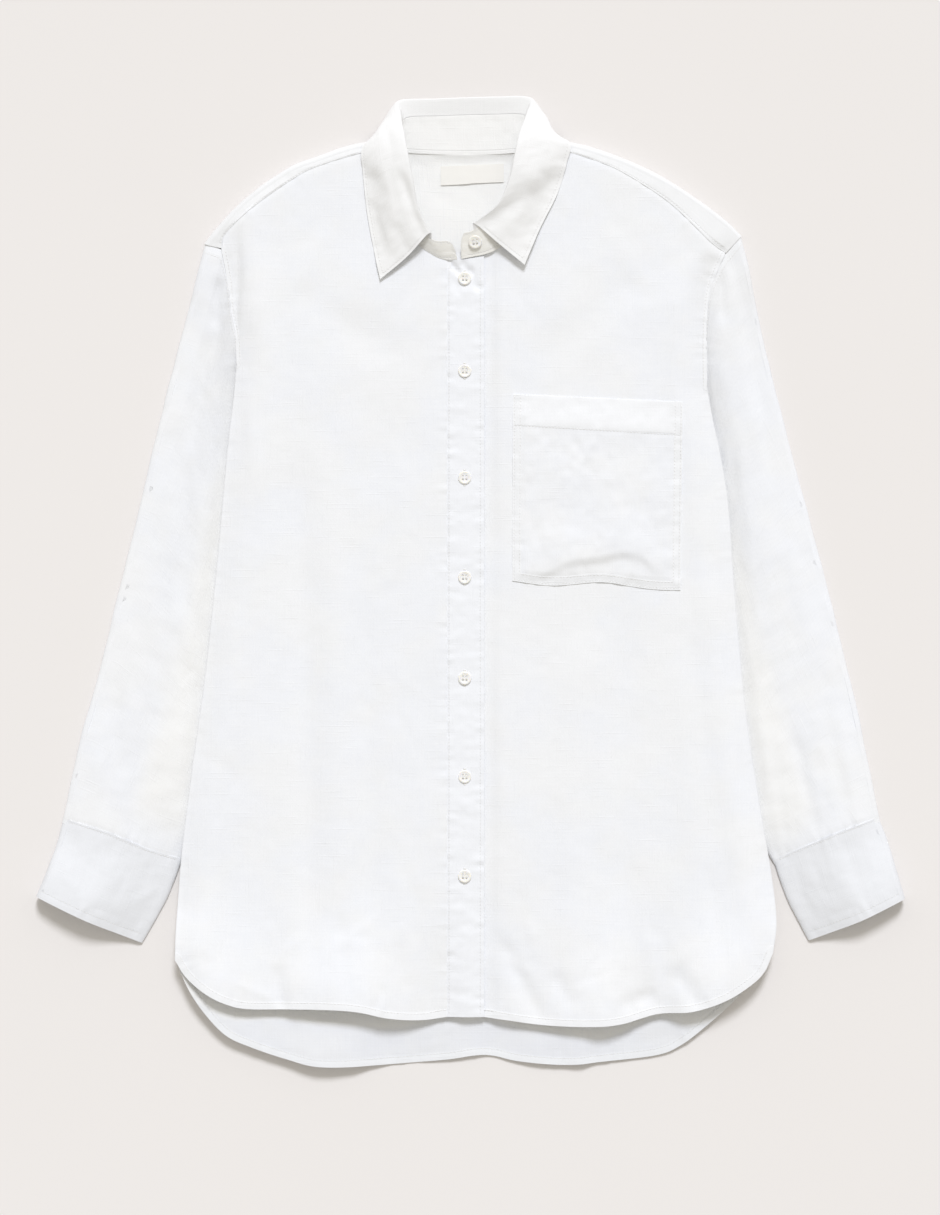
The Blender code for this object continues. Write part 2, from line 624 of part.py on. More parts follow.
def collar(finish):
    """The stand, and the leaf that is sewn to its upper edge and turns down over it."""
    leaf_section = lofted([(*row.fold, *row.over, *row.edge) for row in COLLAR_ROWS])
    leaf_spans = len(COLLAR_ROWS) - 1
    stand_spans = leaf_spans + 2

    def stand_point(u, v):
        foot, top = STAND_SECTION(u).reshape(2, 3)
        return mix(foot, top, v)

    def leaf_point(u, v):
        foot, top = STAND_SECTION((1 + u * leaf_spans) / stand_spans).reshape(2, 3)
        fold, over, edge = leaf_section(u).reshape(3, 3)
        up_the_stand = (top - foot) / np.linalg.norm(top - foot)
        root = top + up_the_stand * COLLAR_SEAM_GAP
        before = root - up_the_stand * np.linalg.norm(fold - root)
        leaf = np.array((before, root, fold, over, edge, 2 * edge - over))
        place = min(v, 0.999999) * 3
        index = int(place)
        return smooth_step_point(leaf[index : index + 4], place - index)

    stand = shaped_grid(stand_spans * STATIONS_PER_ROW, 2, stand_point)
    shell("collar_stand", stand, WALL, 0.0, finish)
    leaf = shaped_grid(leaf_spans * STATIONS_PER_ROW, LEAF_COLUMNS, leaf_point)
    shell("collar_leaf", leaf, WALL, 0.0, finish)


def neck_label(finish):
    x, y = LABEL_CENTRE
    width, depth = LABEL_SIZE

    def point_at(u, v):
        return x + width * (u - 0.5), y + depth * (v - 0.5), WALL + SEAM_GAP + 0.6

    lying_panel("neck_label", 2, 1, point_at, LABEL_WALL, finish)


STAND_SECTION = lofted([STAND_RIGHT_END, *[(*row.foot, *row.top) for row in COLLAR_ROWS], STAND_LEFT_END])


def button(name, finish):
    """A button with a raised rim round a dished middle, turned about its own axis."""
    radius = BUTTON_DIAMETER / 2
    profile = (
        (0.0, BUTTON_DISH), (radius - BUTTON_RIM - 0.6, BUTTON_DISH), (radius - BUTTON_RIM, BUTTON_HEIGHT),
        (radius - 0.6, BUTTON_HEIGHT), (radius, BUTTON_HEIGHT - 0.7), (radius - 0.5, 0.2),
        (radius - 1.4, 0.0), (0.0, 0.0),
    )
    mesh = bmesh.new()
    points = [mesh.verts.new((r * MM, 0, z * MM)) for r, z in profile]
    edges = [mesh.edges.new(pair) for pair in zip(points, points[1:])]
    bmesh.ops.spin(
        mesh, geom=points + edges, axis=(0, 0, 1), cent=(0, 0, 0),
        angle=2 * math.pi, steps=BUTTON_SIDES, use_merge=True,
    )
    bmesh.ops.remove_doubles(mesh, verts=mesh.verts, dist=0.00001)
    bmesh.ops.recalc_face_normals(mesh, faces=mesh.faces)
    return finished_object(name, mesh, finish)


def buttons(finish):
    """The buttons down the placket, and the one on the left end of the stand, which is tilted with it."""
    reach = (-BUTTON_DIAMETER / 2, 0, BUTTON_DIAMETER / 2)
    for number, y in enumerate(BUTTON_Y, 1):
        under = [front_height(BUTTON_X + dx, y + dy) for dx in reach for dy in reach]
        made = button(f"button_{number}", finish)
        made.location = (BUTTON_X * MM, y * MM, (max(under) + WALL + SEAM_GAP) * MM)
    numbers = STAND_SECTION(STAND_BUTTON_AT)
    foot, top = Vector(numbers[:3]), Vector(numbers[3:])
    up_the_stand = (top - foot).normalized()
    along = Vector(STAND_SECTION(STAND_BUTTON_AT + 0.01)[:3]) - Vector(STAND_SECTION(STAND_BUTTON_AT - 0.01)[:3])
    face = up_the_stand.cross(along).normalized()
    face = face if face.z > 0 else -face
    made = button("button_stand", finish)
    made.rotation_euler = face.to_track_quat("Z", "Y").to_euler()
    made.location = ((foot + top) / 2 + face * (WALL / 2 + SEAM_GAP + 0.3)) * MM


def clear_scene():
    for thing in list(bpy.data.objects):
        bpy.data.objects.remove(thing)


def main():
    clear_scene()
    linen = material("linen", LINEN, 0.9)
    inner = material("linen inside", INNER_LINEN, 0.9)
    pearl = material("button shell", SHELL, 0.35)
    back_panel(inner)
    yoke(inner)
    front_panels(linen)
    closure(linen)
    pocket(linen)
    sleeves_and_cuffs(linen)
    collar(linen)
    neck_label(linen)
    buttons(pearl)


main()
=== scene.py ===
# %% [markdown]
# A white linen shirt, buttoned and laid flat, seen from straight above. On the real shirt every panel is
# cut from one thin woven cloth, and what the eye reads are its edges: folded hems, seams with rows of
# stitches, and small puckers where thread has drawn the cloth together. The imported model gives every
# piece its place and size. This script makes each piece again as a thin, finely divided sheet on the same
# surface, so that it can carry those details as real shape. Lengths in the tables are millimetres, and
# right and left are the wearer's.

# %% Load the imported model
import math
from collections import namedtuple

import bmesh
import bpy
import numpy as np
from mathutils import Matrix, Vector


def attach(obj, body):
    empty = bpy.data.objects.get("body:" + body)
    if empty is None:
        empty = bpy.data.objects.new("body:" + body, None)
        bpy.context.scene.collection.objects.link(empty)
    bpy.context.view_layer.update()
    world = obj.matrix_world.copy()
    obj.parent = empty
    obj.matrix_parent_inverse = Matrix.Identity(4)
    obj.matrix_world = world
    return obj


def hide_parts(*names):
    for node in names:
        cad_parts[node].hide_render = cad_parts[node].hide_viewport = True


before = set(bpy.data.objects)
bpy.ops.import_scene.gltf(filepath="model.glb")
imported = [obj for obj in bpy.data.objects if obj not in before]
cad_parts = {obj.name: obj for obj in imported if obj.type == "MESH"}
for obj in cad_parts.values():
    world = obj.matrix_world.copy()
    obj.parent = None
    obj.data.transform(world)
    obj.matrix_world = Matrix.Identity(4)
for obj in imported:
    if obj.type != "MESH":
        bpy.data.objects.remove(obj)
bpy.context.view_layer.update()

MM = 0.001
BODY = "root"

# %% [markdown]
# The shirt's measures come first. They are the tables that the CAD source uses, with some heights eased
# by a few millimetres: outlines of each panel as seen from above, and the heights at which the layers of
# cloth lie. A pattern cutter would call them the pattern. Repeating them here, and not reading points
# back from the CAD mesh, lets the finer pieces follow exactly the same smooth curves with as many points
# as a fold needs.

# %% Heights and walls
WALL = 1.3
SLEEVE_HEIGHT = 9.4
CUFF_HEIGHT = 10.0
BACK_OVER_SLEEVE = 6.0
RAMP_FROM, RAMP_TO = 8.0, 42.0
CLIMB_FROM, CLIMB_TO = 14.0, 62.0
EDGE_ROLL, EDGE_ROLL_AT, EDGE_ROLL_WIDTH = 2.6, 20.0, 14.0
EDGE_START, EDGE_BLEND = 8.0, 34.0
SIDE_SEAM_GAP = 0.6
LAYER_CLEARANCE = 1.2
LOFT_AT_Y = (-380.0, -200.0, 235.0, 290.0)
LOFT = (10.0, 12.0, 12.0, 10.5)
LAP_DROP = 2.2
PLACKET_LEFT, PLACKET_RIGHT, PLACKET_TOP = -20.0, 11.5, 272.0
BUTTON_X = -5.0
BUTTON_Y = (259.0, 180.0, 89.0, 4.0, -82.0, -166.0, -251.0)
POCKET = ((36.0, 160.0), (181.0, 153.5), (179.0, -7.0), (35.5, 1.0))
POCKET_PUFF = 1.6
LABEL_CENTRE, LABEL_SIZE, LABEL_HEIGHT = (1.5, 349.0), (54.0, 16.0), 2.05

CLOTH = 0.65          # one layer of linen
DOUBLE_CLOTH = 1.15   # two layers, as at the collar and the bands
CUFF_CLOTH = 1.0
THIN_CLOTH = 0.5      # the pocket and the label, which lie close to what is under them
HEM_STITCHES_AT, HEM_DEPTH = 5.4, 6.2

# %% Outlines seen from above
BODY_EDGE_RIGHT_SIDE = (
    (-252, -322), (-251, -289), (-247, -234), (-239, -168), (-227, -81), (-217, 12),
    (-208, 110), (-203, 153), (-200, 186),
)
ARMHOLE_RIGHT_SIDE = ((-200, 186), (-201, 208), (-206, 231), (-208, 258), (-213, 285))
BODY_EDGE_LEFT_SIDE = (
    (258, -316), (261, -289), (257, -250), (246, -184), (235, -110), (226, -15), (219, 76),
    (206, 144), (202, 167),
)
ARMHOLE_LEFT_SIDE = ((202, 167), (202, 213), (205, 247), (211, 266), (218, 281))
FRONT_HEM = (
    (-252, -322), (-242, -337), (-225, -351), (-207, -360), (-186, -364), (-129, -364),
    (-97, -366), (-70, -372), (-42, -374), (-20, -371), (11, -371), (31, -374), (62, -378),
    (97, -379), (128, -377), (159, -369), (189, -366), (214, -358), (232, -348), (249, -334),
    (258, -316),
)
BACK_HEM = (
    (-252, -322), (-240, -349), (-225, -371), (-208, -388), (-186, -398), (-156, -408),
    (-129, -414), (-83, -413.5), (-24, -409), (4, -405), (20, -405.5), (41, -410), (81, -413),
    (117, -410), (159, -405), (179, -397), (200, -381), (230, -353), (258, -316),
)
NECK_RIGHT_SIDE = ((-94, 366), (-80, 345), (-68, 318), (-48, 292), (-20, 274))
NECK_LEFT_SIDE = ((11, 276), (32, 296), (52, 322), (68, 345), (84, 367))
SLEEVE_OUTER_RIGHT = (
    (-229, 289), (-237, 258), (-252, 198), (-271, 121), (-295, 19), (-320, -84), (-334, -135),
    (-348, -202),
)
SLEEVE_OUTER_LEFT = (
    (233, 296), (241, 262), (254, 198), (274, 117), (300, 19), (325, -84), (336, -135), (349, -201),
)
SLEEVE_HEAD_RIGHT = ((-229, 289), (-214, 283), (-208.5, 258), (-206.5, 231), (-201.5, 208), (-200, 186))
SLEEVE_HEAD_LEFT = ((233, 296), (219.5, 280), (212, 266), (205.5, 247), (202.5, 213), (202, 167))
SLEEVE_UNDER_RIGHT = ((-200, 186), (-187, 167), (-168, 151), (-155, 136))
SLEEVE_UNDER_LEFT = ((202, 167), (188, 149), (168, 133), (154, 118))
SLEEVE_FOLD_RIGHT = (
    (-155, 136), (-152, 110), (-152, 70), (-161, 19), (-174, -32), (-187, -84), (-202, -135),
    (-225, -186), (-247, -237),
)
SLEEVE_FOLD_LEFT = (
    (154, 118), (152, 90), (155, 53), (167, 2), (181, -50), (194, -101), (212, -152), (237, -203),
    (259, -238),
)
CUFF_SEAM_RIGHT = ((-348, -202), (-310, -214), (-274, -229), (-247, -237))
CUFF_SEAM_LEFT = ((349, -201), (322, -211), (288, -225), (259, -238))
CUFF_HEM_RIGHT = ((-371, -268), (-325, -290), (-281, -309))
CUFF_HEM_LEFT = ((371, -270), (330, -290), (289, -307))
CUFF_OUTER_RIGHT = ((-348, -202), (-356, -230), (-371, -268))
CUFF_OUTER_LEFT = ((349, -201), (359, -228), (371, -270))
CUFF_INNER_RIGHT = ((-247, -237), (-260, -271), (-281, -309))
CUFF_INNER_LEFT = ((259, -238), (271, -271), (289, -307))

# %% Soft folds that the CAD has too: start x, y, end x, y, half width, depth (a ridge has a negative depth)
BODY_FOLDS = (
    (-146, 95, -138, -320, 12, 2.6),
    (-116, 60, -112, -300, 13, -1.8),
    (-88, -20, -86, -290, 11, 1.4),
    (-176, 130, -190, -200, 12, -1.2),
    (135, -30, 128, -290, 15, 1.8),
    (90, -60, 84, -330, 12, -1.4),
    (178, -60, 196, -300, 13, -1.4),
    (26, -306, 60, -372, 7, 2.0),
    (72, -335, 88, -362, 7, 1.4),
    (176, -330, 198, -366, 9, 2.2),
    (128, -362, 158, -352, 7, 1.4),
    (-166, -330, -158, -364, 6, 1.6),
    (-150, 250, -60, 190, 16, 1.4),
    (150, 262, 60, 190, 16, 1.2),
)
SLEEVE_FOLDS = (
    (-215, 256, -219, 219, 6, 2.4),
    (-219, 219, -240, 120, 7, 2.6),
    (-240, 120, -246, -10, 8, 1.8),
    (-262, 150, -282, 40, 8, -1.0),
    (-300, -90, -312, -200, 7, 1.6),
    (-276, -110, -290, -214, 6, 1.3),
    (223, 282, 237, 231, 6, 2.6),
    (237, 231, 253, 132, 7, 2.6),
    (253, 132, 262, 40, 9, 1.4),
    (214, 262, 216, 224, 4, 1.8),
    (300, -70, 318, -196, 8, 1.6),
    (276, -130, 296, -214, 6, 1.4),
)

# %% Waves of the two hems: x, and how much higher the edge stands there
FRONT_HEM_WAVES = (
    (-252, 3.0), (-238, 7.4), (-222, 9.6), (-204, 8.4), (-186, 6.2), (-166, 4.8), (-133, 10.2), (-98, 11.0),
    (-63, 5.2), (-28, -3.2), (-3, 0.2), (14, -1.6), (45, 0.6), (72, 2.8), (109, 9.2), (127, 5.8),
    (145, 0.8), (164, -0.6), (184, 8.2), (200, 10.6), (220, 9.4), (240, 6.4), (258, 3.0),
)
BACK_HEM_LIFT = (
    (-252, 14.0), (-236, 13.0), (-222, 11.0), (-200, 9.0), (-180, 8.4), (-155, 8.8), (-130, 11.0),
    (-103, 9.0), (-82, 3.0), (-66, 0.4), (-40, 0.4), (-24, 1.8), (0, 2.4), (21, 0.8), (51, 3.4), (77, 4.0),
    (95, 5.4), (111, 2.0), (154, 1.2), (188, 3.4), (215, 6.0), (240, 9.5), (258, 12.0),
)
HEM_WAVE_REACH, BACK_LIFT_REACH = 60.0, 54.0

# %% Sections of the yoke and the collar
YokeRow = namedtuple("YokeRow", "front height ridge half back")
YOKE_ROWS = (
    YokeRow((-213, 285), None, (-228, 289), 4.7, (-211.5, 283)),
    YokeRow((-209, 298), None, (-217, 303), 4.8, (-200, 281.5)),
    YokeRow((-183, 322), None, (-193, 328), 5.0, (-178, 279.5)),
    YokeRow((-147, 347), None, (-158, 353), 5.0, (-145, 278)),
    YokeRow((-127, 356), None, (-134, 363), 5.0, (-122, 277.5)),
    YokeRow((-94, 366), None, (-95, 375.5), 5.0, (-90, 277)),
    YokeRow((-80, 368), 6.0, (-77, 372.5), 2.8, (-72, 277)),
    YokeRow((-62, 370), 3.2, None, None, (-56, 278)),
    YokeRow((-40, 368), 2.0, None, None, (-38, 278)),
    YokeRow((-5, 366), 1.8, None, None, (-5, 278)),
    YokeRow((30, 368), 2.0, None, None, (28, 278)),
    YokeRow((52, 372), 3.2, None, None, (46, 278)),
    YokeRow((70, 370), 6.0, (68, 374.5), 2.8, (62, 277)),
    YokeRow((84, 367), None, (86, 376), 5.0, (80, 277)),
    YokeRow((119, 355), None, (126, 364), 5.0, (114, 277)),
    YokeRow((146, 340), None, (155, 351), 5.0, (142, 277)),
    YokeRow((173, 321), None, (183, 335), 5.0, (172, 277)),
    YokeRow((204, 291), None, (216, 311), 4.8, (203, 278)),
    YokeRow((218, 281), None, (232, 296), 4.7, (216.5, 279.5)),
)
NECK_FROM_ROW, NECK_TO_ROW, NECK_SLOPE = 5, 13, 13.0
YOKE_FRONT_SHARE, YOKE_BACK_FROM = 2 / 11, 8 / 11

# foot and top of the stand, fold of the leaf, a point halfway down it, and its outer edge
COLLAR_ROWS = (
    ((-30, 281, 13.4), (-33, 292, 18), (-36, 296, 22.5), (-54, 277, 18.5), (-77, 258, 15.4)),
    ((-58, 304, 13.2), (-45, 314, 21.5), (-47, 318, 26), (-65, 300, 22), (-82, 281, 14.2)),
    ((-72, 327, 13.1), (-51, 339, 24), (-51, 343, 28.5), (-70, 330, 24.5), (-88, 313, 13.6)),
    ((-80, 348, 13), (-56, 359, 24), (-55, 364, 28), (-76, 356, 23), (-91.5, 346, 13.2)),
    ((-80, 366, 11.8), (-59, 374, 20), (-58, 381, 24), (-78, 377, 19), (-92, 372, 12.7)),
    ((-70, 374, 8.5), (-59, 389, 12.4), (-61.5, 399, 14.4), (-76, 391, 9.5), (-77, 380, 4.2)),
    ((-56, 371.0, 4.2), (-54, 397, 7.4), (-60.5, 411.0, 8.6), (-66, 397, 3.6), (-61, 381, 1.5)),
    ((-30, 369.5, 2.7), (-29, 398.5, 5.2), (-30, 412.6, 6.6), (-30, 398, 1.3), (-30, 377, 0.75)),
    ((-5, 369, 2.5), (-4, 399.5, 4.9), (-4, 413.8, 6.4), (-4, 399, 1.2), (-4, 377, 0.75)),
    ((20, 369.5, 2.7), (21, 400, 5.2), (22, 414.4, 6.6), (22, 400, 1.3), (22, 378, 0.75)),
    ((45, 371.5, 4.2), (45, 399.5, 7.4), (51, 413.4, 8.6), (56, 400, 3.6), (51, 383, 1.5)),
    ((58, 375, 8.5), (47.5, 391, 12.4), (50, 401, 14.4), (66, 394, 9.5), (67, 382, 4.2)),
    ((69, 368, 11.8), (45, 376, 20), (43, 382, 24), (64, 379, 19), (84.5, 374, 12.7)),
    ((70, 350, 13), (41, 358, 24), (39, 363, 28), (60, 360, 23), (81.5, 356, 13.4)),
    ((62, 330, 13.1), (35, 337, 24), (34, 341, 28), (54, 338, 24.5), (74, 331, 14.2)),
    ((46, 308, 13.2), (23, 316, 21), (24, 320, 25.5), (41, 311, 22.5), (59, 301, 16.2)),
    ((20, 286, 13.4), (3, 300, 18), (4, 304.5, 21), (24, 288, 19.5), (46, 270, 18.4)),
)
STAND_RIGHT_END = (-12, 278, 13.4, -15, 291, 17)
STAND_LEFT_END = (-8, 279, 12.6, -9, 297, 16)
STAND_BUTTON_AT = 0.965

# %% [markdown]
# Smooth curves run through the tables' points, and a patch of cloth fills the space between four of them.
# In Blender this could be drawn with curve or surface objects. Working the curves out with numbers, for
# whole arrays of points at a time, keeps the outline exact and lets tens of thousands of points be placed
# in a moment.

# %% Curves and patches
def smoothstep(low, high, value):
    t = np.clip((value - low) / (high - low), 0.0, 1.0)
    return t * t * (3 - 2 * t)


def mix(a, b, t):
    return a + (b - a) * t


def smooth_point(four, t):
    """The point at t between the middle two of four points, on the smooth curve through them."""
    a, b, c, d = four
    bend = (2 * a - 5 * b + 4 * c - d) * t * t + (3 * b - a - 3 * c + d) * t**3
    return 0.5 * (2 * b + (c - a) * t + bend)


def with_ends(points):
    return np.vstack([2 * points[0] - points[1], points, 2 * points[-1] - points[-2]])


def run_along(line):
    """How far along a line each of its points is."""
    return np.concatenate([[0], np.cumsum(np.linalg.norm(np.diff(line, axis=1), axis=0))])


def curve_through(*tables):
    """A function of 0..1 along smooth curves through the tables, with a corner where two meet."""
    fine = []
    for table in tables:
        points = np.array(table, float)
        ends = with_ends(points)
        for index in range(len(points) - 1):
            fine += [smooth_point(ends[index : index + 4], t) for t in np.arange(0, 1, 1 / 16)]
    fine.append(np.array(tables[-1][-1], float))
    fine = np.array(fine).T
    run = run_along(fine)
    return lambda t: np.array([np.interp(np.asarray(t) * run[-1], run, row) for row in fine])


def spread(places, steps):
    """Places (u, v) run through one after another, with so many steps from each to the next."""
    places = np.array(places, float).T
    last = places.shape[1] - 1
    count = np.linspace(0, last, steps * last + 1)
    return [np.interp(count, np.arange(last + 1), row) for row in places]


def lofted(rows):
    """A function of 0..1 that blends smoothly from row to row of numbers."""
    points = np.array(rows, float)
    ends = with_ends(points)

    def at(u):
        place = np.minimum(np.atleast_1d(u), 0.999999) * (len(points) - 1)
        index = place.astype(int)
        return smooth_point([ends[index + step] for step in range(4)], (place - index)[:, None]).T

    return at


def patch(foot, top, left, right):
    """Points (x, y) for places (u, v) inside four curves: u from left to right, v from foot to top."""
    ends = np.array([0.0, 1.0])
    foot_left, foot_right = foot(ends).T
    top_left, top_right = top(ends).T

    def at(u, v):
        corners = mix(
            mix(foot_left[:, None], foot_right[:, None], u), mix(top_left[:, None], top_right[:, None], u), v
        )
        return mix(left(v), right(v), u) + mix(foot(u), top(u), v) - corners

    return at


def fold_depth(folds, x, y):
    """How deep soft folds press the cloth down, for arrays of places."""
    depth = np.zeros_like(x)
    for x0, y0, x1, y1, half_width, most in folds:
        along_x, along_y = x1 - x0, y1 - y0
        length = math.hypot(along_x, along_y)
        t = ((x - x0) * along_x + (y - y0) * along_y) / length**2
        across = ((x - x0) * along_y - (y - y0) * along_x) / length
        reach = smoothstep(-0.18, 0.2, t) * smoothstep(1.18, 0.8, t)
        depth += most * reach * np.exp(-((across / half_width) ** 2))
    return depth


def side_table(*tables):
    points = curve_through(*tables)(np.linspace(0, 1, 200))
    order = np.argsort(points[1])
    return points[1][order], points[0][order]


EDGE_X = {
    -1: side_table(BODY_EDGE_RIGHT_SIDE, ARMHOLE_RIGHT_SIDE),
    1: side_table(BODY_EDGE_LEFT_SIDE, ARMHOLE_LEFT_SIDE),
}
FOLD_X = {
    -1: side_table(SLEEVE_FOLD_RIGHT[::-1], SLEEVE_UNDER_RIGHT[::-1], ARMHOLE_RIGHT_SIDE),
    1: side_table(SLEEVE_FOLD_LEFT[::-1], SLEEVE_UNDER_LEFT[::-1], ARMHOLE_LEFT_SIDE),
}
CUFF_X = {-1: side_table(CUFF_INNER_RIGHT[::-1]), 1: side_table(CUFF_INNER_LEFT[::-1])}
UNDERARM_Y = {-1: ARMHOLE_RIGHT_SIDE[0][1], 1: ARMHOLE_LEFT_SIDE[0][1]}

# %% [markdown]
# The body is two layers with a little air between them. The back lies flat and climbs over the inner edge
# of each sleeve, and the fronts rest on it at the side seams and stand higher in the middle. These two
# functions give the height of each layer anywhere on the shirt.

# %% Heights of the back and the fronts
ALONG_HEM = np.linspace(0, 1, 300)
FRONT_WAVES = curve_through(FRONT_HEM_WAVES)(ALONG_HEM), curve_through(FRONT_HEM)(ALONG_HEM)
BACK_WAVES = curve_through(BACK_HEM_LIFT)(ALONG_HEM), curve_through(BACK_HEM)(ALONG_HEM)


def near_hem(waves, reach, x, y):
    """What a hem's waves add to the height: all of it at the edge, and less and less up the cloth."""
    (wave_x, wave), (hem_x, hem_y) = waves
    distance = np.maximum(y - np.interp(x, hem_x, hem_y), 0)
    return np.interp(x, wave_x, wave) * np.exp(-((distance / reach) ** 2))


def inner_edge_x(side, y):
    """The x of the sleeve's inner edge, or of the cuff's below it, or of the armhole above the underarm."""
    (fold_y, fold_x), (cuff_y, cuff_x) = FOLD_X[side], CUFF_X[side]
    below = np.where(y >= cuff_y[0], np.interp(y, cuff_y, cuff_x), cuff_x[0] + side * (cuff_y[0] - y) * 0.6)
    return np.where(y >= fold_y[0], np.interp(y, fold_y, fold_x), below)


def of_side(function, x, y):
    """A function of side, x and y, worked out for whichever side of the shirt each point is on."""
    x, y = np.atleast_1d(x).astype(float), np.atleast_1d(y).astype(float)
    return np.where(x < 0, function(-1, x, y), function(1, x, y))


def back_on_side(side, x, y):
    inward = (inner_edge_x(side, y) - x) * side
    lifted = BACK_OVER_SLEEVE * smoothstep(RAMP_TO, RAMP_FROM, inward)
    lifted = lifted * smoothstep(UNDERARM_Y[side] + CLIMB_TO, UNDERARM_Y[side] + CLIMB_FROM, y)
    hem = near_hem(BACK_WAVES, BACK_LIFT_REACH, x, y)
    return (lifted**4 + hem**4) ** 0.25


def front_on_side(side, x, y):
    edge_x = np.interp(y, *EDGE_X[side])
    inward = np.maximum((edge_x - x) * side, 0.0)
    edge = back_on_side(side, edge_x, y) + WALL + SIDE_SEAM_GAP
    edge = np.where(y > UNDERARM_Y[side], np.maximum(edge, SLEEVE_HEIGHT - WALL), edge)
    loft = np.interp(y, LOFT_AT_Y, LOFT) - fold_depth(BODY_FOLDS, x, y)
    loft = loft + near_hem(FRONT_WAVES, HEM_WAVE_REACH, x, y)
    roll = EDGE_ROLL * np.exp(-(((inward - EDGE_ROLL_AT) / EDGE_ROLL_WIDTH) ** 2))
    off_edge = smoothstep(0, EDGE_START, inward)
    height = mix(edge, loft, smoothstep(0, EDGE_BLEND, inward)) + roll * off_edge
    clearance = mix(SIDE_SEAM_GAP, LAYER_CLEARANCE, off_edge)
    return np.maximum(height, back_on_side(side, x, y) + WALL + clearance)


def back_height(x, y):
    return of_side(back_on_side, x, y)


def front_height(x, y):
    return of_side(front_on_side, x, y)


print("front lies", round(front_height(0, 0)[0], 2), "mm up at the middle of the body")

# %% [markdown]
# Linen never lies quite smooth. Three kinds of unevenness sit on top of the main folds: a soft rumple
# that covers everything, short creases left by folding and wearing, and puckers that run a few
# millimetres out from every row of stitches. A displacement texture could do it, but then the meshes
# would stay plain, so the points themselves are moved here, with seeded numbers that come out the same on
# every run.

# %% Rumples, creases and puckers
def rumple(a, b, seed, shortest, longest, waves=26):
    """A smooth unevenness of about -1 to 1, from many gentle waves at random angles."""
    draw = np.random.default_rng(seed)
    total, power = np.zeros_like(a), 0.0
    for _ in range(waves):
        length = math.exp(draw.uniform(math.log(shortest), math.log(longest)))
        angle, phase = draw.uniform(0, 2 * math.pi, 2)
        share = (length / longest) ** 0.7
        total += share * np.sin(2 * math.pi * (a * math.cos(angle) + b * math.sin(angle)) / length + phase)
        power += share * share / 2
    return total / math.sqrt(power) / 2


def loose_creases(seed, count, box, lengths, half_widths, depths, lean=1.6):
    """Rows for fold_depth: short creases strewn over a box (x0, y0, x1, y1), most of them leaning upright."""
    draw = np.random.default_rng(seed)
    rows = []
    for _ in range(count):
        x, y = draw.uniform(box[0], box[2]), draw.uniform(box[1], box[3])
        length = draw.uniform(*lengths)
        angle = math.pi / 2 + draw.normal(0, lean)
        dx, dy = math.cos(angle) * length / 2, math.sin(angle) * length / 2
        depth = draw.uniform(*depths) * draw.choice((-1, 1))
        rows.append((x - dx, y - dy, x + dx, y + dy, draw.uniform(*half_widths), depth))
    return rows


def along_line(line, points):
    """For every point, how far it is from a sewn line and how far along the line that is."""
    nearest, place, run = np.full(points.shape[1], 1e6), np.zeros(points.shape[1]), 0.0
    for start, end in zip(line.T, line.T[1:]):
        step = end - start
        length = np.linalg.norm(step)
        if length < 1e-9:
            continue
        t = np.clip(step @ (points - start[:, None]) / length**2, 0, 1)
        gap = np.linalg.norm(points - start[:, None] - step[:, None] * t, axis=0)
        closer = gap < nearest
        nearest[closer], place[closer] = gap[closer], run + t[closer] * length
        run += length
    return nearest, place


RIPPLE_LENGTHS, SWELL_LENGTH = (7.6, 10.3, 13.7, 19.0), 61


def puckers(gap, place, seed, depth, reach):
    """Little ripples that cross a row of stitches and die away on both sides of it."""
    draw = np.random.default_rng(seed)

    def wave(length):
        return np.sin(2 * math.pi * place / length + draw.uniform(0, 6.28))

    ripple = sum(wave(length) for length in RIPPLE_LENGTHS)
    swell = 0.55 + 0.45 * wave(SWELL_LENGTH)
    return depth / 2 * ripple * swell * np.exp(-((gap / reach) ** 2))


# %% [markdown]
# Cloth gets its look from its weave. White linen has threads of uneven thickness, about 17 to the
# centimetre, with thicker slubs a few centimetres long, and where it is doubled it looks lighter and a
# little creamier, because less shows through. One small class lets the shader's arithmetic be written as
# Python. The weave is two sets of sine ridges on the UV map, which always runs with the cloth. A picture
# of linen would also do, but it would blur close up and carry its own lighting.

# %% Shader helpers
class Value:
    """A number on its way through a shader, which arithmetic can be written with."""

    def __init__(self, recipe, socket):
        self.recipe, self.socket = recipe, socket

    def maths(self, operation, *values):
        return self.recipe.add("ShaderNodeMath", {"operation": operation}, dict(enumerate(values)))

    def __add__(self, other):
        return self.maths("ADD", self, other)

    def __sub__(self, other):
        return self.maths("SUBTRACT", self, other)

    def __mul__(self, other):
        return self.maths("MULTIPLY", self, other)

    def __rsub__(self, other):
        return self.maths("SUBTRACT", other, self)

    __radd__, __rmul__ = __add__, __mul__

    def sine(self):
        return self.maths("SINE", self)

    def apart(self):
        node = self.recipe.tree.nodes.new("ShaderNodeSeparateXYZ")
        self.recipe.tree.links.new(self.socket, node.inputs[0])
        return [Value(self.recipe, output) for output in node.outputs]


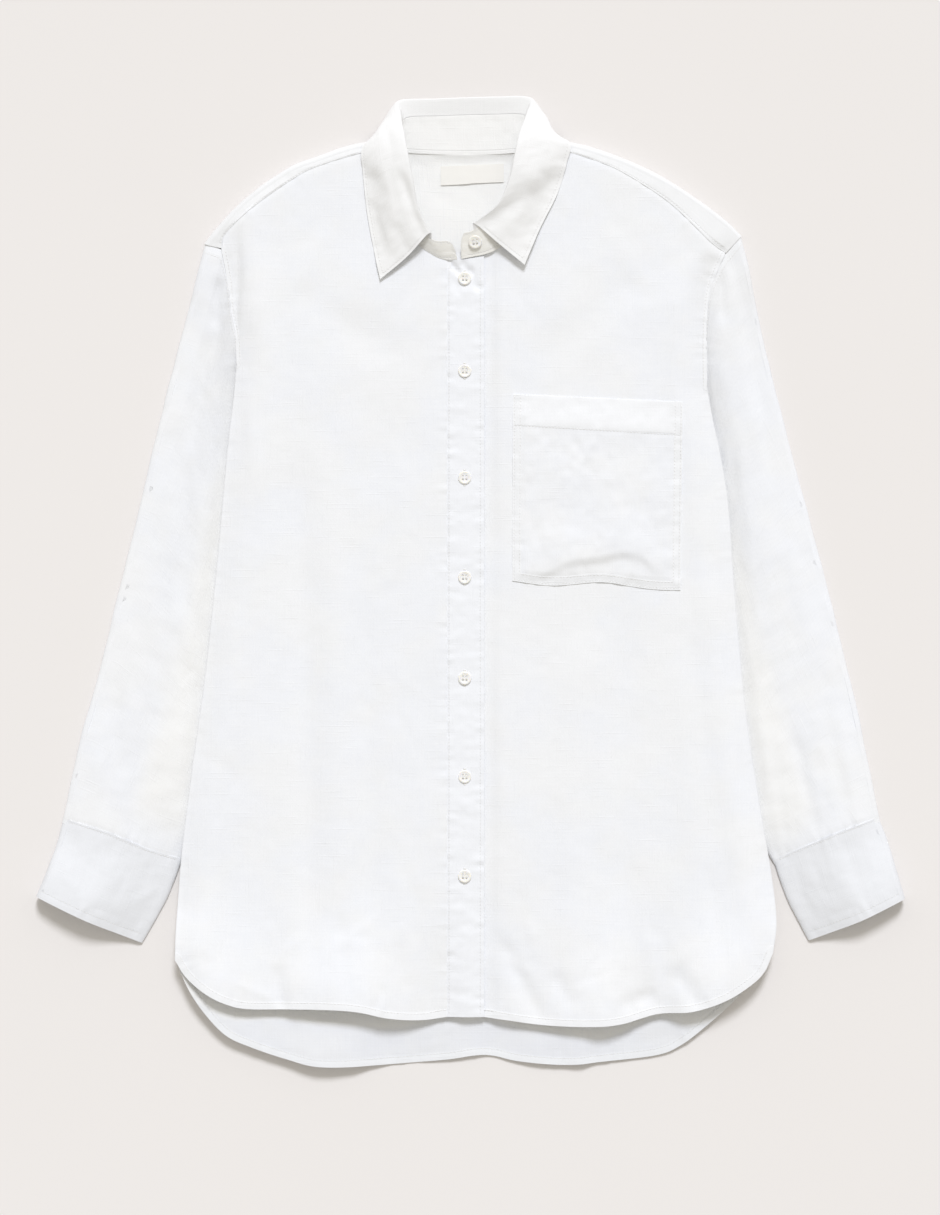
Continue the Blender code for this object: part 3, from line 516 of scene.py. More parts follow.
class Recipe:
    """A material's nodes, round one Principled shader."""

    def __init__(self, name, **constants):
        self.material = bpy.data.materials.new(name)
        self.material.use_nodes = True
        self.tree = self.material.node_tree
        self.shader = self.tree.nodes["Principled BSDF"]
        for label, value in constants.items():
            self.shader.inputs[label.replace("_", " ")].default_value = value

    def add(self, kind, settings=None, inputs=None, output=0):
        node = self.tree.nodes.new(kind)
        for label, value in (settings or {}).items():
            setattr(node, label, value)
        for slot, value in (inputs or {}).items():
            if isinstance(value, Value):
                self.tree.links.new(value.socket, node.inputs[slot])
            else:
                node.inputs[slot].default_value = value
        return Value(self, node.outputs[output])

    def noise(self, vector, scale, detail=2.0, roughness=0.5):
        return self.add(
            "ShaderNodeTexNoise", {"noise_dimensions": "3D"},
            {"Vector": vector, "Scale": scale, "Detail": detail, "Roughness": roughness},
        )

    def stretched(self, vector, scale):
        return self.add("ShaderNodeVectorMath", {"operation": "MULTIPLY"}, {0: vector, 1: scale})

    def rising(self, value, low, high, bottom=0.0, top=1.0):
        return self.add(
            "ShaderNodeMapRange", {"interpolation_type": "SMOOTHSTEP"},
            {"Value": value, "From Min": low, "From Max": high, "To Min": bottom, "To Max": top},
        )

    def blended(self, amount, first, second):
        return self.add("ShaderNodeMix", {"data_type": "RGBA"}, {0: amount, 6: first, 7: second}, 2)

    def mark(self, name):
        return self.add("ShaderNodeAttribute", {"attribute_name": name}, output=2)

    def feed(self, label, value):
        self.tree.links.new(value.socket, self.shader.inputs[label])

    def relief(self, height):
        """Heights in millimetres, felt by the light as a Bump."""
        bump = self.add("ShaderNodeBump", {}, {"Strength": 1.0, "Distance": MM, "Height": height})
        self.feed("Normal", bump)


# %% Linen
THREADS_PER_METRE = 1700.0
PALE_THREAD, SEAM_SHADE = 1.05, 0.86


def woven(recipe, uv, thread_height):
    """The height of a plain weave with uneven threads, and where its thick slubs are (0 to 1)."""
    across, along, _ = uv.apart()
    wander = recipe.noise(recipe.stretched(uv, (90.0, 90.0, 0.0)), 1.0, 2.0)
    warp = across * THREADS_PER_METRE + wander * 2.4
    weft = along * THREADS_PER_METRE + wander * -2.1
    checks = (warp * math.pi).sine() * (weft * math.pi).sine()
    upright = recipe.noise(recipe.stretched(uv, (760.0, 24.0, 0.0)), 1.0, 2.0, 0.6)
    level = recipe.noise(recipe.stretched(uv, (22.0, 820.0, 0.0)), 1.0, 2.0, 0.6)
    slubs = recipe.rising(upright, 0.56, 0.74) + recipe.rising(level, 0.57, 0.75)
    return checks * thread_height + slubs * (1.6 * thread_height), slubs, (upright + level) * 0.5


def paler(colour):
    return (*[min(part * PALE_THREAD, 0.99) for part in colour], 1)


def linen(name, single, doubled, painted_light_and_shade=(0.935, 0.930, 0.912)):
    recipe = Recipe(name, Roughness=0.86, Specular_IOR_Level=0.28, Sheen_Weight=0.04, Sheen_Roughness=0.5)
    uv = recipe.add("ShaderNodeUVMap", {"uv_map": "cloth"})
    place = recipe.add("ShaderNodeTexCoord", output=3)
    weave, slubs, streaks = woven(recipe, uv, 0.055)
    two_layers = recipe.rising(recipe.mark("doubled"), -0.0004, 0.0004)
    gap = recipe.mark("stitched")
    crumple = recipe.noise(place, 75.0, 3.0, 0.55)
    height = weave + crumple * 0.24 + two_layers * 0.16 + recipe.rising(gap, 0.0, 0.0009) * 0.16
    recipe.relief(height)
    tone = recipe.noise(place, 16.0, 3.0, 0.6)
    single_cloth = recipe.blended(
        recipe.rising(tone, 0.38, 0.64), (*single[0], 1), (*single[1], 1))
    colour = recipe.blended(two_layers, single_cloth, (*doubled, 1))
    # Painted light and shade: where a panel's mark says, the colour is blended towards a warm tone, paler
    # where it lifts shade and darker where it stands for shade.
    colour = recipe.blended(recipe.mark("painted_light_and_shade"), colour, (*painted_light_and_shade, 1))
    pale = recipe.blended(two_layers, paler(single[1]), paler(doubled))
    lighter = recipe.blended(recipe.rising(streaks, 0.40, 0.62, 0.0, 0.35), colour, pale)
    seam_shade = recipe.rising(gap, 0.0002, 0.0010, 0.35, 0.0)
    shaded = (*[part * SEAM_SHADE for part in doubled], 1)
    recipe.feed("Base Color", recipe.blended(seam_shade, lighter, shaded))
    recipe.feed("Roughness", 0.88 - slubs * 0.06)
    return recipe.material


# The cuffs', the back's and the yoke's linen are painted darker than the same cloth elsewhere, and the
# stand's is painted lighter. This is painted shade and painted light that even out how the light falls on
# those pieces.
SINGLE = ((0.883, 0.896, 0.930), (0.895, 0.900, 0.912))
LINEN = linen("white linen", SINGLE, (0.898, 0.905, 0.922))
BAND_LINEN = linen("white linen, bands", SINGLE, (0.895, 0.907, 0.938))
CUFF_LINEN_PAINTED_SHADE = linen("white linen, cuffs", SINGLE, (0.817, 0.828, 0.855))
COLLAR_LINEN = linen("white linen, collar", SINGLE, (0.910, 0.909, 0.908))
STAND_LINEN_PAINTED_LIGHT_AND_SHADE = linen("white linen, stand", SINGLE, (0.950, 0.948, 0.938), (0.935, 0.918, 0.868))
YOKE_LINEN_PAINTED_LIGHT_AND_SHADE = linen("white linen, yoke", SINGLE, (0.862, 0.866, 0.873), (0.945, 0.943, 0.930))
BACK_LINEN_PAINTED_LIGHT_AND_SHADE = linen("white linen, back", ((0.815, 0.828, 0.868), (0.828, 0.837, 0.860)), (0.856, 0.868, 0.890))


def thread_material():
    recipe = Recipe("white sewing thread", Roughness=0.6, Specular_IOR_Level=0.4, Sheen_Weight=0.2)
    place = recipe.add("ShaderNodeTexCoord", output=3)
    fibres = recipe.noise(place, 2600.0, 1.0)
    recipe.feed("Base Color", recipe.blended(fibres, (0.84, 0.835, 0.82, 1), (0.93, 0.925, 0.91, 1)))
    recipe.relief(fibres * 0.05)
    return recipe.material


def pearl_material():
    recipe = Recipe(
        "pearly button", Roughness=0.3, Specular_IOR_Level=0.5, Coat_Weight=0.3, Coat_Roughness=0.15,
        Subsurface_Weight=0.4, Subsurface_Scale=0.002, Subsurface_Radius=(1.0, 0.9, 0.7))
    place = recipe.add("ShaderNodeTexCoord", output=3)
    layers = recipe.noise(recipe.stretched(place, (160.0, 420.0, 300.0)), 1.0, 3.0, 0.6)
    recipe.feed("Base Color", recipe.blended(
        recipe.rising(layers, 0.35, 0.65), (0.940, 0.905, 0.845, 1), (0.975, 0.950, 0.912, 1)))
    recipe.feed("Roughness", 0.24 + layers * 0.16)
    recipe.relief(layers * 0.03)
    return recipe.material


def label_material():
    recipe = Recipe("woven label tape", Roughness=0.7, Sheen_Weight=0.25)
    uv = recipe.add("ShaderNodeUVMap", {"uv_map": "cloth"})
    across, along, _ = uv.apart()
    ribs = (along * 2600.0 * math.pi).sine() * 0.5 + (across * 5200.0 * math.pi).sine() * 0.25
    recipe.feed("Base Color", recipe.blended(
        ribs * 0.5 + 0.5, (0.90, 0.882, 0.838, 1), (0.935, 0.922, 0.885, 1)))
    recipe.relief(ribs * 0.06)
    return recipe.material


THREAD, PEARL, LABEL_TAPE = thread_material(), pearl_material(), label_material()
FINISHES = (
    LINEN, BAND_LINEN, CUFF_LINEN_PAINTED_SHADE, COLLAR_LINEN, STAND_LINEN_PAINTED_LIGHT_AND_SHADE, YOKE_LINEN_PAINTED_LIGHT_AND_SHADE, BACK_LINEN_PAINTED_LIGHT_AND_SHADE, THREAD, PEARL, LABEL_TAPE,
)
print("materials:", [made.name for made in FINISHES])

# %% [markdown]
# Topstitching shows as rows of short raised bars with small gaps. Each stitch is a little stretched ball
# of thread laid along its line, and all the rows of a piece are joined into one mesh. A dotted line in
# the material would be cheaper, but real stitches catch the light and are part of the shape itself.

# %% Rows of stitches
STITCH_LENGTH, STITCH_GAP, STITCH_WIDTH, STITCH_HEIGHT = 2.1, 0.8, 0.5, 0.34
FIRST_STITCH_AT, STITCH_LIFT = 0.4, 0.08


def stitch_row(mesh, line, up):
    """Stitches along a line of points in millimetres; up is the way that the cloth faces there."""
    run = run_along(line)
    pitch = STITCH_LENGTH + STITCH_GAP
    for start in np.arange(FIRST_STITCH_AT, run[-1] - STITCH_LENGTH, pitch):
        a = np.array([np.interp(start, run, row) for row in line])
        b = np.array([np.interp(start + STITCH_LENGTH, run, row) for row in line])
        middle = (a + b) / 2
        face = Vector([np.interp(start, run, row) for row in up]).normalized()
        ahead = Vector(b - a).normalized()
        side = face.cross(ahead).normalized()
        turn = Matrix((ahead, side, ahead.cross(side))).transposed().to_4x4()
        size = Matrix.Diagonal((STITCH_LENGTH * 0.55, STITCH_WIDTH * 0.55, STITCH_HEIGHT * 0.6, 1))
        lifted = Matrix.Translation((Vector(middle) + face * STITCH_LIFT) * MM)
        place = lifted @ turn @ Matrix.Scale(MM, 4) @ size
        bmesh.ops.create_icosphere(mesh, subdivisions=1, radius=1.0, matrix=place)


def stitching(name, rows):
    """One piece from several rows, each a line and the way that its cloth faces."""
    mesh = bmesh.new()
    for line, up in rows:
        stitch_row(mesh, line, up)
    made = finished(name, mesh, THREAD)
    print(f"{name}: {len(made.data.polygons)} triangles of thread")
    return made


# %% [markdown]
# Every panel is made in the same way, so one helper makes them all. A bmesh grid is the flat cloth on the
# cutting table. Its points are moved to the panel's surface, then out by the rumple and puckers, and the
# sheet is extruded to its other face. Extruding, and not a Solidify modifier, lets doubled edges be
# thicker than single cloth. Each point also keeps two distances for the material: how far it is inside
# doubled cloth, and how far from the nearest row of stitches. A UV map in metres runs with the threads.

# %% Helpers that make a panel
# a seam or a row of stitches, and cloth folded along an edge
Sewn = namedtuple("Sewn", "line pucker reach thread", defaults=(0.35, 8.0, True))
Doubled = namedtuple("Doubled", "line width")

SEAM_POINTS, HEM_POINTS = np.linspace(0, 1, 90), np.linspace(0, 1, 260)
SEAM_SINKS, SEAM_HALF_WIDTH = 0.14, 1.5
FOLD_RISES, FOLD_WALL = 0.22, 0.3
FAR_OFF, OFF_THE_FLOOR, SHARP_DEGREES = 100.0, 0.02, 50


def laid_out(columns, rows):
    """A flat grid of faces, with each point's place across (u) and along (v), from 0 to 1."""
    mesh = bmesh.new()
    bmesh.ops.create_grid(mesh, x_segments=columns, y_segments=rows, size=0.5)
    places = np.array([vertex.co[:2] for vertex in mesh.verts]) + 0.5
    return mesh, places[:, 0], places[:, 1]


def facing(points, columns, rows, closed, up_where):
    """The outward direction at every point of a grid; the points of up_where are known to face up."""
    grid = points.reshape(3, rows + 1, columns + 1)
    across, along = np.gradient(grid, axis=2), np.gradient(grid, axis=1)
    if closed:
        across[:, :, 0] = across[:, :, -1] = (grid[:, :, 1] - grid[:, :, -2]) / 2
    direction = np.cross(across, along, axis=0).reshape(3, -1)
    direction *= np.sign(direction[2][up_where].sum())
    return direction / np.maximum(np.linalg.norm(direction, axis=0), 1e-9)


def measured_cloth(points, columns, rows):
    """Distances across and along the cloth in millimetres, for a surface that isn't flat."""
    grid = points.reshape(3, rows + 1, columns + 1)
    across = np.zeros((rows + 1, columns + 1))
    along = np.zeros((rows + 1, columns + 1))
    across[:, 1:] = np.cumsum(np.linalg.norm(np.diff(grid, axis=2), axis=0), axis=1)
    along[1:] = np.cumsum(np.linalg.norm(np.diff(grid, axis=1), axis=0), axis=0)
    across -= across[:, -1:] / 2
    along = np.repeat(along.mean(axis=1)[:, None], columns + 1, axis=1)
    return across.ravel(), along.ravel()


def finished(name, mesh, finish, uv=None, marks=()):
    """A bmesh made into an object at the origin, with its UV map and its points' marks."""
    data = bpy.data.meshes.new(name)
    mesh.to_mesh(data)
    mesh.free()
    data.shade_smooth()
    data.set_sharp_from_angle(angle=math.radians(SHARP_DEGREES))
    data.materials.append(finish)
    if uv is not None:
        corners = np.empty(len(data.loops), dtype=np.int32)
        data.loops.foreach_get("vertex_index", corners)
        data.uv_layers.new(name="cloth").data.foreach_set("uv", uv[corners].astype(np.float32).ravel())
    for label, values in marks:
        data.attributes.new(label, "FLOAT", "POINT").data.foreach_set("value", values.astype(np.float32))
    made = bpy.data.objects.new(name, data)
    bpy.context.scene.collection.objects.link(made)
    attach(made, BODY)
    return made


def cloth_area(piece):
    """Half of a closed shell's area, in square metres: the area of the cloth in it."""
    return sum(face.area for face in piece.data.polygons) / 2


def on_cloth(line, plan, upper, outward):
    """A line moved on to the cloth as it lies, and the way that the cloth faces along it."""
    run = run_along(line)
    places = np.linspace(0, run[-1], max(int(run[-1] / 1.5), 2))
    fine = np.array([np.interp(places, run, row) for row in line])
    laid, up = [], []
    for start in range(0, fine.shape[1], 40):
        some = fine[:, start : start + 40]
        gaps = ((some[:, :, None] - plan[:, None, :]) ** 2).sum(axis=0)
        nearest = np.argpartition(gaps, 4, axis=1)[:, :4]
        weight = 1 / (np.take_along_axis(gaps, nearest, axis=1) + 0.02)
        weight /= weight.sum(axis=1, keepdims=True)
        here = (upper[:, nearest] * weight).sum(axis=2)
        if len(plan) == 2:
            here[:2] = some
        laid.append(here)
        up.append((outward[:, nearest] * weight).sum(axis=2))
    return np.concatenate(laid, axis=1), np.concatenate(up, axis=1)


def panel(name, columns, rows, surface, finish, wall=CLOTH, out=0.0, closed=False, flat=False,
          relief=None, sewn=(), doubled=(), double_all_over=False, faces_up=None, painted_light_and_shade_amount=None):
    """A piece of cloth on surface(u, v), which gives points in millimetres, and its rows of stitches."""
    mesh, u, v = laid_out(columns, rows)
    points = surface(u, v)
    up_where = faces_up(u, v) if faces_up else points[2] > points[2].mean() if closed else u >= 0
    outward = facing(points, columns, rows, closed, up_where)
    across, along = (points[0], points[1]) if flat else measured_cloth(points, columns, rows)
    raised = relief(across, along, u, v) if relief else np.zeros_like(u)
    plan = points[:2] if flat else points
    stitched = np.full(len(u), FAR_OFF)
    for number, row in enumerate(sewn):
        gap, place = along_line(row.line[: len(plan)], plan)
        raised = raised + puckers(gap, place, 17 * number + len(name), row.pucker, row.reach)
        raised = raised - SEAM_SINKS * np.exp(-((gap / SEAM_HALF_WIDTH) ** 2))
        stitched = np.minimum(stitched, gap)
    inside = np.full(len(u), FAR_OFF if double_all_over else -FAR_OFF)
    for row in doubled:
        inside = np.maximum(inside, row.width - along_line(row.line[: len(plan)], plan)[0])
    thick = smoothstep(-1.0, 1.0, inside)
    if not double_all_over:
        raised = raised + FOLD_RISES * thick
        wall = wall + FOLD_WALL * thick
    upper = points + outward * (raised + out)
    lower = upper - outward * wall
    for face in (upper, lower):
        face[2] = np.maximum(face[2], OFF_THE_FLOOR)
    rows_of_thread = [on_cloth(row.line[: len(plan)], plan, upper, outward) for row in sewn if row.thread]
    upper, lower = upper * MM, lower * MM
    number_of = mesh.verts.layers.int.new("number")
    for number, vertex in enumerate(mesh.verts):
        vertex[number_of] = number
        vertex.co = upper[:, number]
    if closed:
        bmesh.ops.remove_doubles(mesh, verts=mesh.verts, dist=0.00001)
    other_side = bmesh.ops.extrude_face_region(mesh, geom=mesh.faces[:], use_keep_orig=True)
    for item in other_side["geom"]:
        if isinstance(item, bmesh.types.BMVert):
            item.co = lower[:, item[number_of]]
    bmesh.ops.recalc_face_normals(mesh, faces=mesh.faces)
    kept = np.array([vertex[number_of] for vertex in mesh.verts])
    mesh.verts.layers.int.remove(number_of)
    uv = np.column_stack([across, along])[kept] * MM
    marks = [("doubled", inside[kept] * MM), ("stitched", stitched[kept] * MM)]
    # Each point also keeps how much painted light and shade its colour takes.
    if painted_light_and_shade_amount:
        marks.append(("painted_light_and_shade", painted_light_and_shade_amount(u, v)[kept]))
    made = finished(name, mesh, finish, uv, marks)
    thread = [stitching(f"{name}_stitches", rows_of_thread)] if rows_of_thread else []
    print(f"{name}: {len(made.data.polygons) * 2} triangles, {cloth_area(made):.4f} m2 of cloth")
    return made, thread


def moved_in(line, distance):
    """A line in plan moved sideways, to the left of its direction for a positive distance."""
    step = np.gradient(line[:2], axis=1)
    step /= np.maximum(np.linalg.norm(step, axis=0), 1e-9)
    return line[:2] + distance * np.array([-step[1], step[0]])


# %% [markdown]
# The back is one panel below the yoke. Only its hem shows, because it is cut longer than the front, with
# curved ends. We look at its inside, where the hem is turned up and stitched. The grid's rows lie closer
# together near the hem, where the detail is, and wide apart under the fronts.

# %% Back panel
def yoke_row_point(row, v):
    """A point of one section of the yoke, from its front edge (v = 0) to the seam with the back (v = 1)."""
    front, back = np.array(row.front, float), np.array(row.back, float)
    height = row.height or front_height(*front)[0] + WALL - 0.05
    down_the_back = (v - YOKE_BACK_FROM) / (1 - YOKE_BACK_FROM)
    if row.ridge is None:
        inward = (back - front) / np.linalg.norm(back - front)
        foot = front + inward * NECK_SLOPE
        if v < YOKE_BACK_FROM:
            t = v / YOKE_BACK_FROM
            return np.array((*mix(front, foot, t), height * (1 - t) ** 2))
        return np.array((*mix(foot, back, down_the_back), 0.0))
    ridge, half = np.array(row.ridge, float), row.half
    inward = (back - ridge) / np.linalg.norm(back - ridge)
    crown = ridge + inward * half
    if v < YOKE_FRONT_SHARE:
        t = v / YOKE_FRONT_SHARE
        return np.array((*mix(front, crown, t), mix(height, 2 * half, t)))
    if v < YOKE_BACK_FROM:
        angle = math.pi * (v - YOKE_FRONT_SHARE) / (YOKE_BACK_FROM - YOKE_FRONT_SHARE)
        return np.array((*(crown - inward * half * math.sin(angle)), half + half * math.cos(angle)))
    return np.array((*mix(crown, back, down_the_back), 0.0))


def yoke_edge(v, first, last):
    whole = lofted([yoke_row_point(row, v)[:2] for row in YOKE_ROWS])
    steps = len(YOKE_ROWS) - 1
    return lambda t: whole(mix(first, last, np.asarray(t)) / steps)


yoke_back_seam = yoke_edge(1, 0, len(YOKE_ROWS) - 1)
back_area = patch(
    curve_through(BACK_HEM),
    yoke_back_seam,
    curve_through(BODY_EDGE_RIGHT_SIDE, (*ARMHOLE_RIGHT_SIDE[:-1], yoke_back_seam(0)[:, 0])),
    curve_through(BODY_EDGE_LEFT_SIDE, (*ARMHOLE_LEFT_SIDE[:-1], yoke_back_seam(1)[:, 0])),
)


def back_surface(u, v):
    x, y = back_area(u, np.interp(v, (0, 0.5, 1), (0, 0.13, 1)))
    return np.array([x + 0.3 * (1 - 2 * u), y - 1.1 * v, back_height(x, y) + WALL])


BACK_CREASES = loose_creases(5, 26, (-240, -412, 240, -330), (14, 46), (3, 7), (0.15, 0.55), 1.2)


def back_relief(a, b, u, v):
    near_hem = smoothstep(-300, -350, b)
    return 0.35 * rumple(a, b, 11, 18, 70) + near_hem * -fold_depth(BACK_CREASES, a, b)


def back_painted_light(u, v):
    """Where the back is painted paler and creamier by the fronts' hem: painted light standing in for light
    that comes through their thin cloth into their shadow.
    """
    x, y, _ = back_surface(u, v)
    (wave_x, wave), hem = FRONT_WAVES
    shaded = np.maximum(5.0 + 0.9 * np.interp(x, wave_x, wave), 2.5)
    below_fronts = np.interp(x, *hem) - y
    return 0.9 * smoothstep(shaded + 2.5, shaded - 3.5, below_fronts)


back_hem_line = curve_through(BACK_HEM)(HEM_POINTS)
back_stitch_line = moved_in(back_hem_line, HEM_STITCHES_AT)
back, back_thread = panel(
    "back_panel", 190, 130, back_surface, BACK_LINEN_PAINTED_LIGHT_AND_SHADE, flat=True, relief=back_relief,
    sewn=[Sewn(back_stitch_line)], doubled=[Doubled(back_hem_line, HEM_DEPTH)], painted_light_and_shade_amount=back_painted_light,
)
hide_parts("back")

# %% [markdown]
# The two fronts carry most of what the photo shows: long soft folds, the curved hem, and the lap down the
# middle. Both are patches between their hem, the side seam and armhole, the shoulder seam and neck, and
# the placket. Where another piece is sewn on top, the cloth runs on a few millimetres beneath it and
# dips, as a real seam allowance does, so no slit of daylight shows between two pieces.

# %% Fronts
along_seam = np.linspace(0, 1, 40)
right_yoke_seam = yoke_edge(0, 0, NECK_FROM_ROW)(along_seam).T
left_yoke_seam = yoke_edge(0, NECK_TO_ROW, len(YOKE_ROWS) - 1)(along_seam).T
UNDER_BAND = 3.5      # how far the right front runs on beneath the placket
UNDER_YOKE = 2.4      # how far the fronts run on beneath the yoke
DIPS_UNDER_YOKE, DIPS_UNDER_BAND = 1.1, 0.95
FRONT_ROWS = 290

right_front_area = patch(
    curve_through([point for point in FRONT_HEM if point[0] <= PLACKET_LEFT]),
    curve_through(right_yoke_seam, NECK_RIGHT_SIDE),
    curve_through(BODY_EDGE_RIGHT_SIDE, ARMHOLE_RIGHT_SIDE),
    curve_through([(PLACKET_LEFT, -371), NECK_RIGHT_SIDE[-1]]),
)
left_front_area = patch(
    curve_through([point for point in FRONT_HEM if point[0] >= PLACKET_RIGHT - 1]),
    curve_through(NECK_LEFT_SIDE, left_yoke_seam),
    curve_through([(11, -371), NECK_LEFT_SIDE[0]]),
    curve_through(BODY_EDGE_LEFT_SIDE, ARMHOLE_LEFT_SIDE),
)

FRONT_CREASES = (
    (-112, -285, -104, -352, 6, 0.9), (-60, -250, -52, -330, 7, -0.7), (-205, -250, -214, -330, 8, 0.8),
    (44, -262, 40, -318, 6, 0.8), (150, -300, 160, -352, 6, -0.9), (205, -250, 214, -322, 7, 0.9),
    (-40, -60, -36, -170, 8, 0.6), (-62, 120, -58, 10, 9, -0.6), (-100, 230, -104, 150, 9, 0.5),
    (24, 60, 26, -40, 6, 0.5), (26, -90, 30, -200, 8, -0.6), (100, -160, 104, -250, 8, 0.7),
    (-182, 60, -196, -70, 7, 0.7), (-190, 160, -184, 90, 6, -0.6), (196, 120, 204, 10, 7, 0.8),
    (-42, 262, -66, 226, 7, 0.5), (34, 258, 58, 222, 7, 0.5), (-120, 300, -150, 250, 9, -0.5),
    (118, 300, 150, 252, 9, -0.5), (-28, 228, -26, 170, 4, 0.4), (20, 232, 18, 180, 4, 0.4),
    (-199, 294, -203, 214, 5.0, 2.2), (-196, 270, -205, 180, 4.0, 0.8), (203, 276, 208, 200, 6.0, 1.1),
)
SMALL_CREASES = loose_creases(8, 120, (-245, -370, 255, 340), (14, 70), (3.0, 8.0), (0.05, 0.24), 0.6)
LOW_CREASES = loose_creases(9, 46, (-235, -372, 245, -290), (10, 34), (2.5, 5.5), (0.15, 0.5), 0.6)


def front_relief(a, b, u, v):
    soft = 0.30 * rumple(a, b, 21, 30, 110) + 0.07 * rumple(a, b, 22, 11, 26)
    return soft - fold_depth((*FRONT_CREASES, *SMALL_CREASES, *LOW_CREASES), a, b)


def front_top(x, y):
    """The upper face of the fronts and of what is sewn on them, with every crease."""
    x, y = np.atleast_1d(x).astype(float), np.atleast_1d(y).astype(float)
    return front_height(x, y) + WALL + front_relief(x, y, None, None)


def right_front_surface(u, v):
    x, y = right_front_area(u, v)
    x = np.minimum(x, PLACKET_LEFT + 30) + UNDER_BAND * smoothstep(-44, -20, x)
    under = smoothstep(1 - 1.4 / FRONT_ROWS, 1.0, v)
    y = y + UNDER_YOKE * under
    dip = DIPS_UNDER_BAND * smoothstep(PLACKET_LEFT - 0.9, PLACKET_LEFT + 0.9, x) + DIPS_UNDER_YOKE * under
    return np.array([x, y, front_height(x, y) + WALL - dip])


def left_front_surface(u, v):
    x, y = left_front_area(u, v)
    x = x - 4.0 * smoothstep(30, 0, x - 11)
    under = smoothstep(1 - 1.4 / FRONT_ROWS, 1.0, v)
    y = y + UNDER_YOKE * under
    lower = LAP_DROP * smoothstep(PLACKET_RIGHT + 16, PLACKET_RIGHT + 4, x) + DIPS_UNDER_YOKE * under
    return np.array([x, y, front_height(x, y) + WALL - lower])


front_hem_line = curve_through(FRONT_HEM)(HEM_POINTS)
front_stitch_line = moved_in(front_hem_line, HEM_STITCHES_AT)
placket_edge_line = np.array([[PLACKET_LEFT, PLACKET_LEFT], [-371.0, PLACKET_TOP]])
FrontSide = namedtuple("FrontSide", "side surface seams stitches_in flat area")
FRONT_SIDES = (
    FrontSide("right", right_front_surface, (ARMHOLE_RIGHT_SIDE, right_yoke_seam, BODY_EDGE_RIGHT_SIDE), -3.2,
              (0.25, 0.74), 0.155),
    FrontSide("left", left_front_surface, (ARMHOLE_LEFT_SIDE, left_yoke_seam, BODY_EDGE_LEFT_SIDE), 3.2,
              (0.26, 0.74), 0.160),
)
for side, surface, seams, stitches_in, flat_size, flat_area in FRONT_SIDES:
    armhole_line, yoke_seam_line, side_seam_line = (curve_through(seam)(SEAM_POINTS) for seam in seams)
    front, front_thread = panel(
        f"front_{side}_panel", 108, FRONT_ROWS, surface, LINEN, flat=True, relief=front_relief,
        sewn=[
            Sewn(front_stitch_line), Sewn(moved_in(armhole_line, stitches_in), 0.3),
            Sewn(yoke_seam_line, 0.25, 8.0, False), Sewn(side_seam_line, 0.12, 8.0, False),
            Sewn(placket_edge_line, 0.3, 7.0, False),
        ],
        doubled=[Doubled(front_hem_line, HEM_DEPTH), Doubled(armhole_line, 3.8)],
    )
    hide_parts(f"front_{side}")

# %% [markdown]
# The placket is the doubled band that carries the buttonholes. It laps over the button band, which is
# sewn to the other front and nearly hidden. Two rows of stitches hold the placket, and between them the
# cloth puckers a little beside every buttonhole, because thread has drawn it in there.

# %% Placket and button band
PLACKET_FOOT = -371.5
PLACKET_TOP_EDGE = ((-20.0, 278.6), (-12.5, 275.4), (-6.5, 275.0), (0.0, 276.2), (11.5, 278.0))


def placket_surface(u, v):
    """The placket, whose slanting top edge comes up to the foot of the stand."""
    x, y = mix(PLACKET_LEFT, PLACKET_RIGHT, u), mix(PLACKET_FOOT, PLACKET_TOP, v)
    y = y + (np.interp(x, *np.array(PLACKET_TOP_EDGE).T) - PLACKET_TOP) * smoothstep(245, PLACKET_TOP, y)
    return np.array([x, y, front_height(x, y) + WALL + 0.5 * smoothstep(262, 276, y)])


PLACKET_CREASES = (
    (-20, 274.5, -9, 263, 2.6, 2.6), (-8, 273.0, 1, 262, 2.6, 1.8), (0, 268, 7, 248, 3.0, 1.2),
    (-16, 262, -10, 246, 3.0, 0.7), (-14, 276, -8, 272.5, 1.6, -0.5),
)


def placket_relief(a, b, u, v):
    near_button = sum(np.exp(-(((b - y) / 9.0) ** 2)) for y in BUTTON_Y)
    cross_waves = 0.24 * rumple(a * 0.35, b, 31, 8, 26) + 0.10 * rumple(a, b, 32, 6, 14)
    edge = 0.25 * smoothstep(3.0, 0.0, PLACKET_RIGHT - a)
    drawn = 0.35 * near_button * np.exp(-(((a - BUTTON_X) / 6) ** 2)) + fold_depth(PLACKET_CREASES, a, b)
    return front_relief(a, b, u, v) * 0.6 + cross_waves - drawn - edge


def placket_line(x, low=-369.0, high=PLACKET_TOP - 2):
    y = np.linspace(low, high, 200)
    return np.array([np.full_like(y, x), y])


PLACKET_STITCH_X = (-18.4, 8.2)
placket, placket_thread = panel(
    "placket_band", 22, 360, placket_surface, BAND_LINEN, wall=DOUBLE_CLOTH, flat=True, relief=placket_relief,
    sewn=[Sewn(placket_line(x), 0.3, 5.0) for x in PLACKET_STITCH_X], double_all_over=True,
)
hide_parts("placket")


def band_surface(u, v):
    x, y = mix(PLACKET_LEFT + 1.5, 9.6, u), mix(-370.0, PLACKET_TOP + 9.5, v)
    return np.array([x, y, front_height(x, y) - LAP_DROP + WALL])


button_band, _ = panel(
    "button_band_strip", 12, 160, band_surface, LINEN, wall=DOUBLE_CLOTH, flat=True,
    relief=lambda a, b, u, v: 0.15 * rumple(a, b, 41, 9, 30), double_all_over=True,
)
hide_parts("button_band")

# %% [markdown]
# The chest pocket is a patch sewn on along three sides, with a deep band at its open top. It stands a
# little full, and its fullness sags into a crease just above the bottom seam. The pocket's edge is drawn
# down to the front, where the real one is stitched flat, and only its middle stands off.

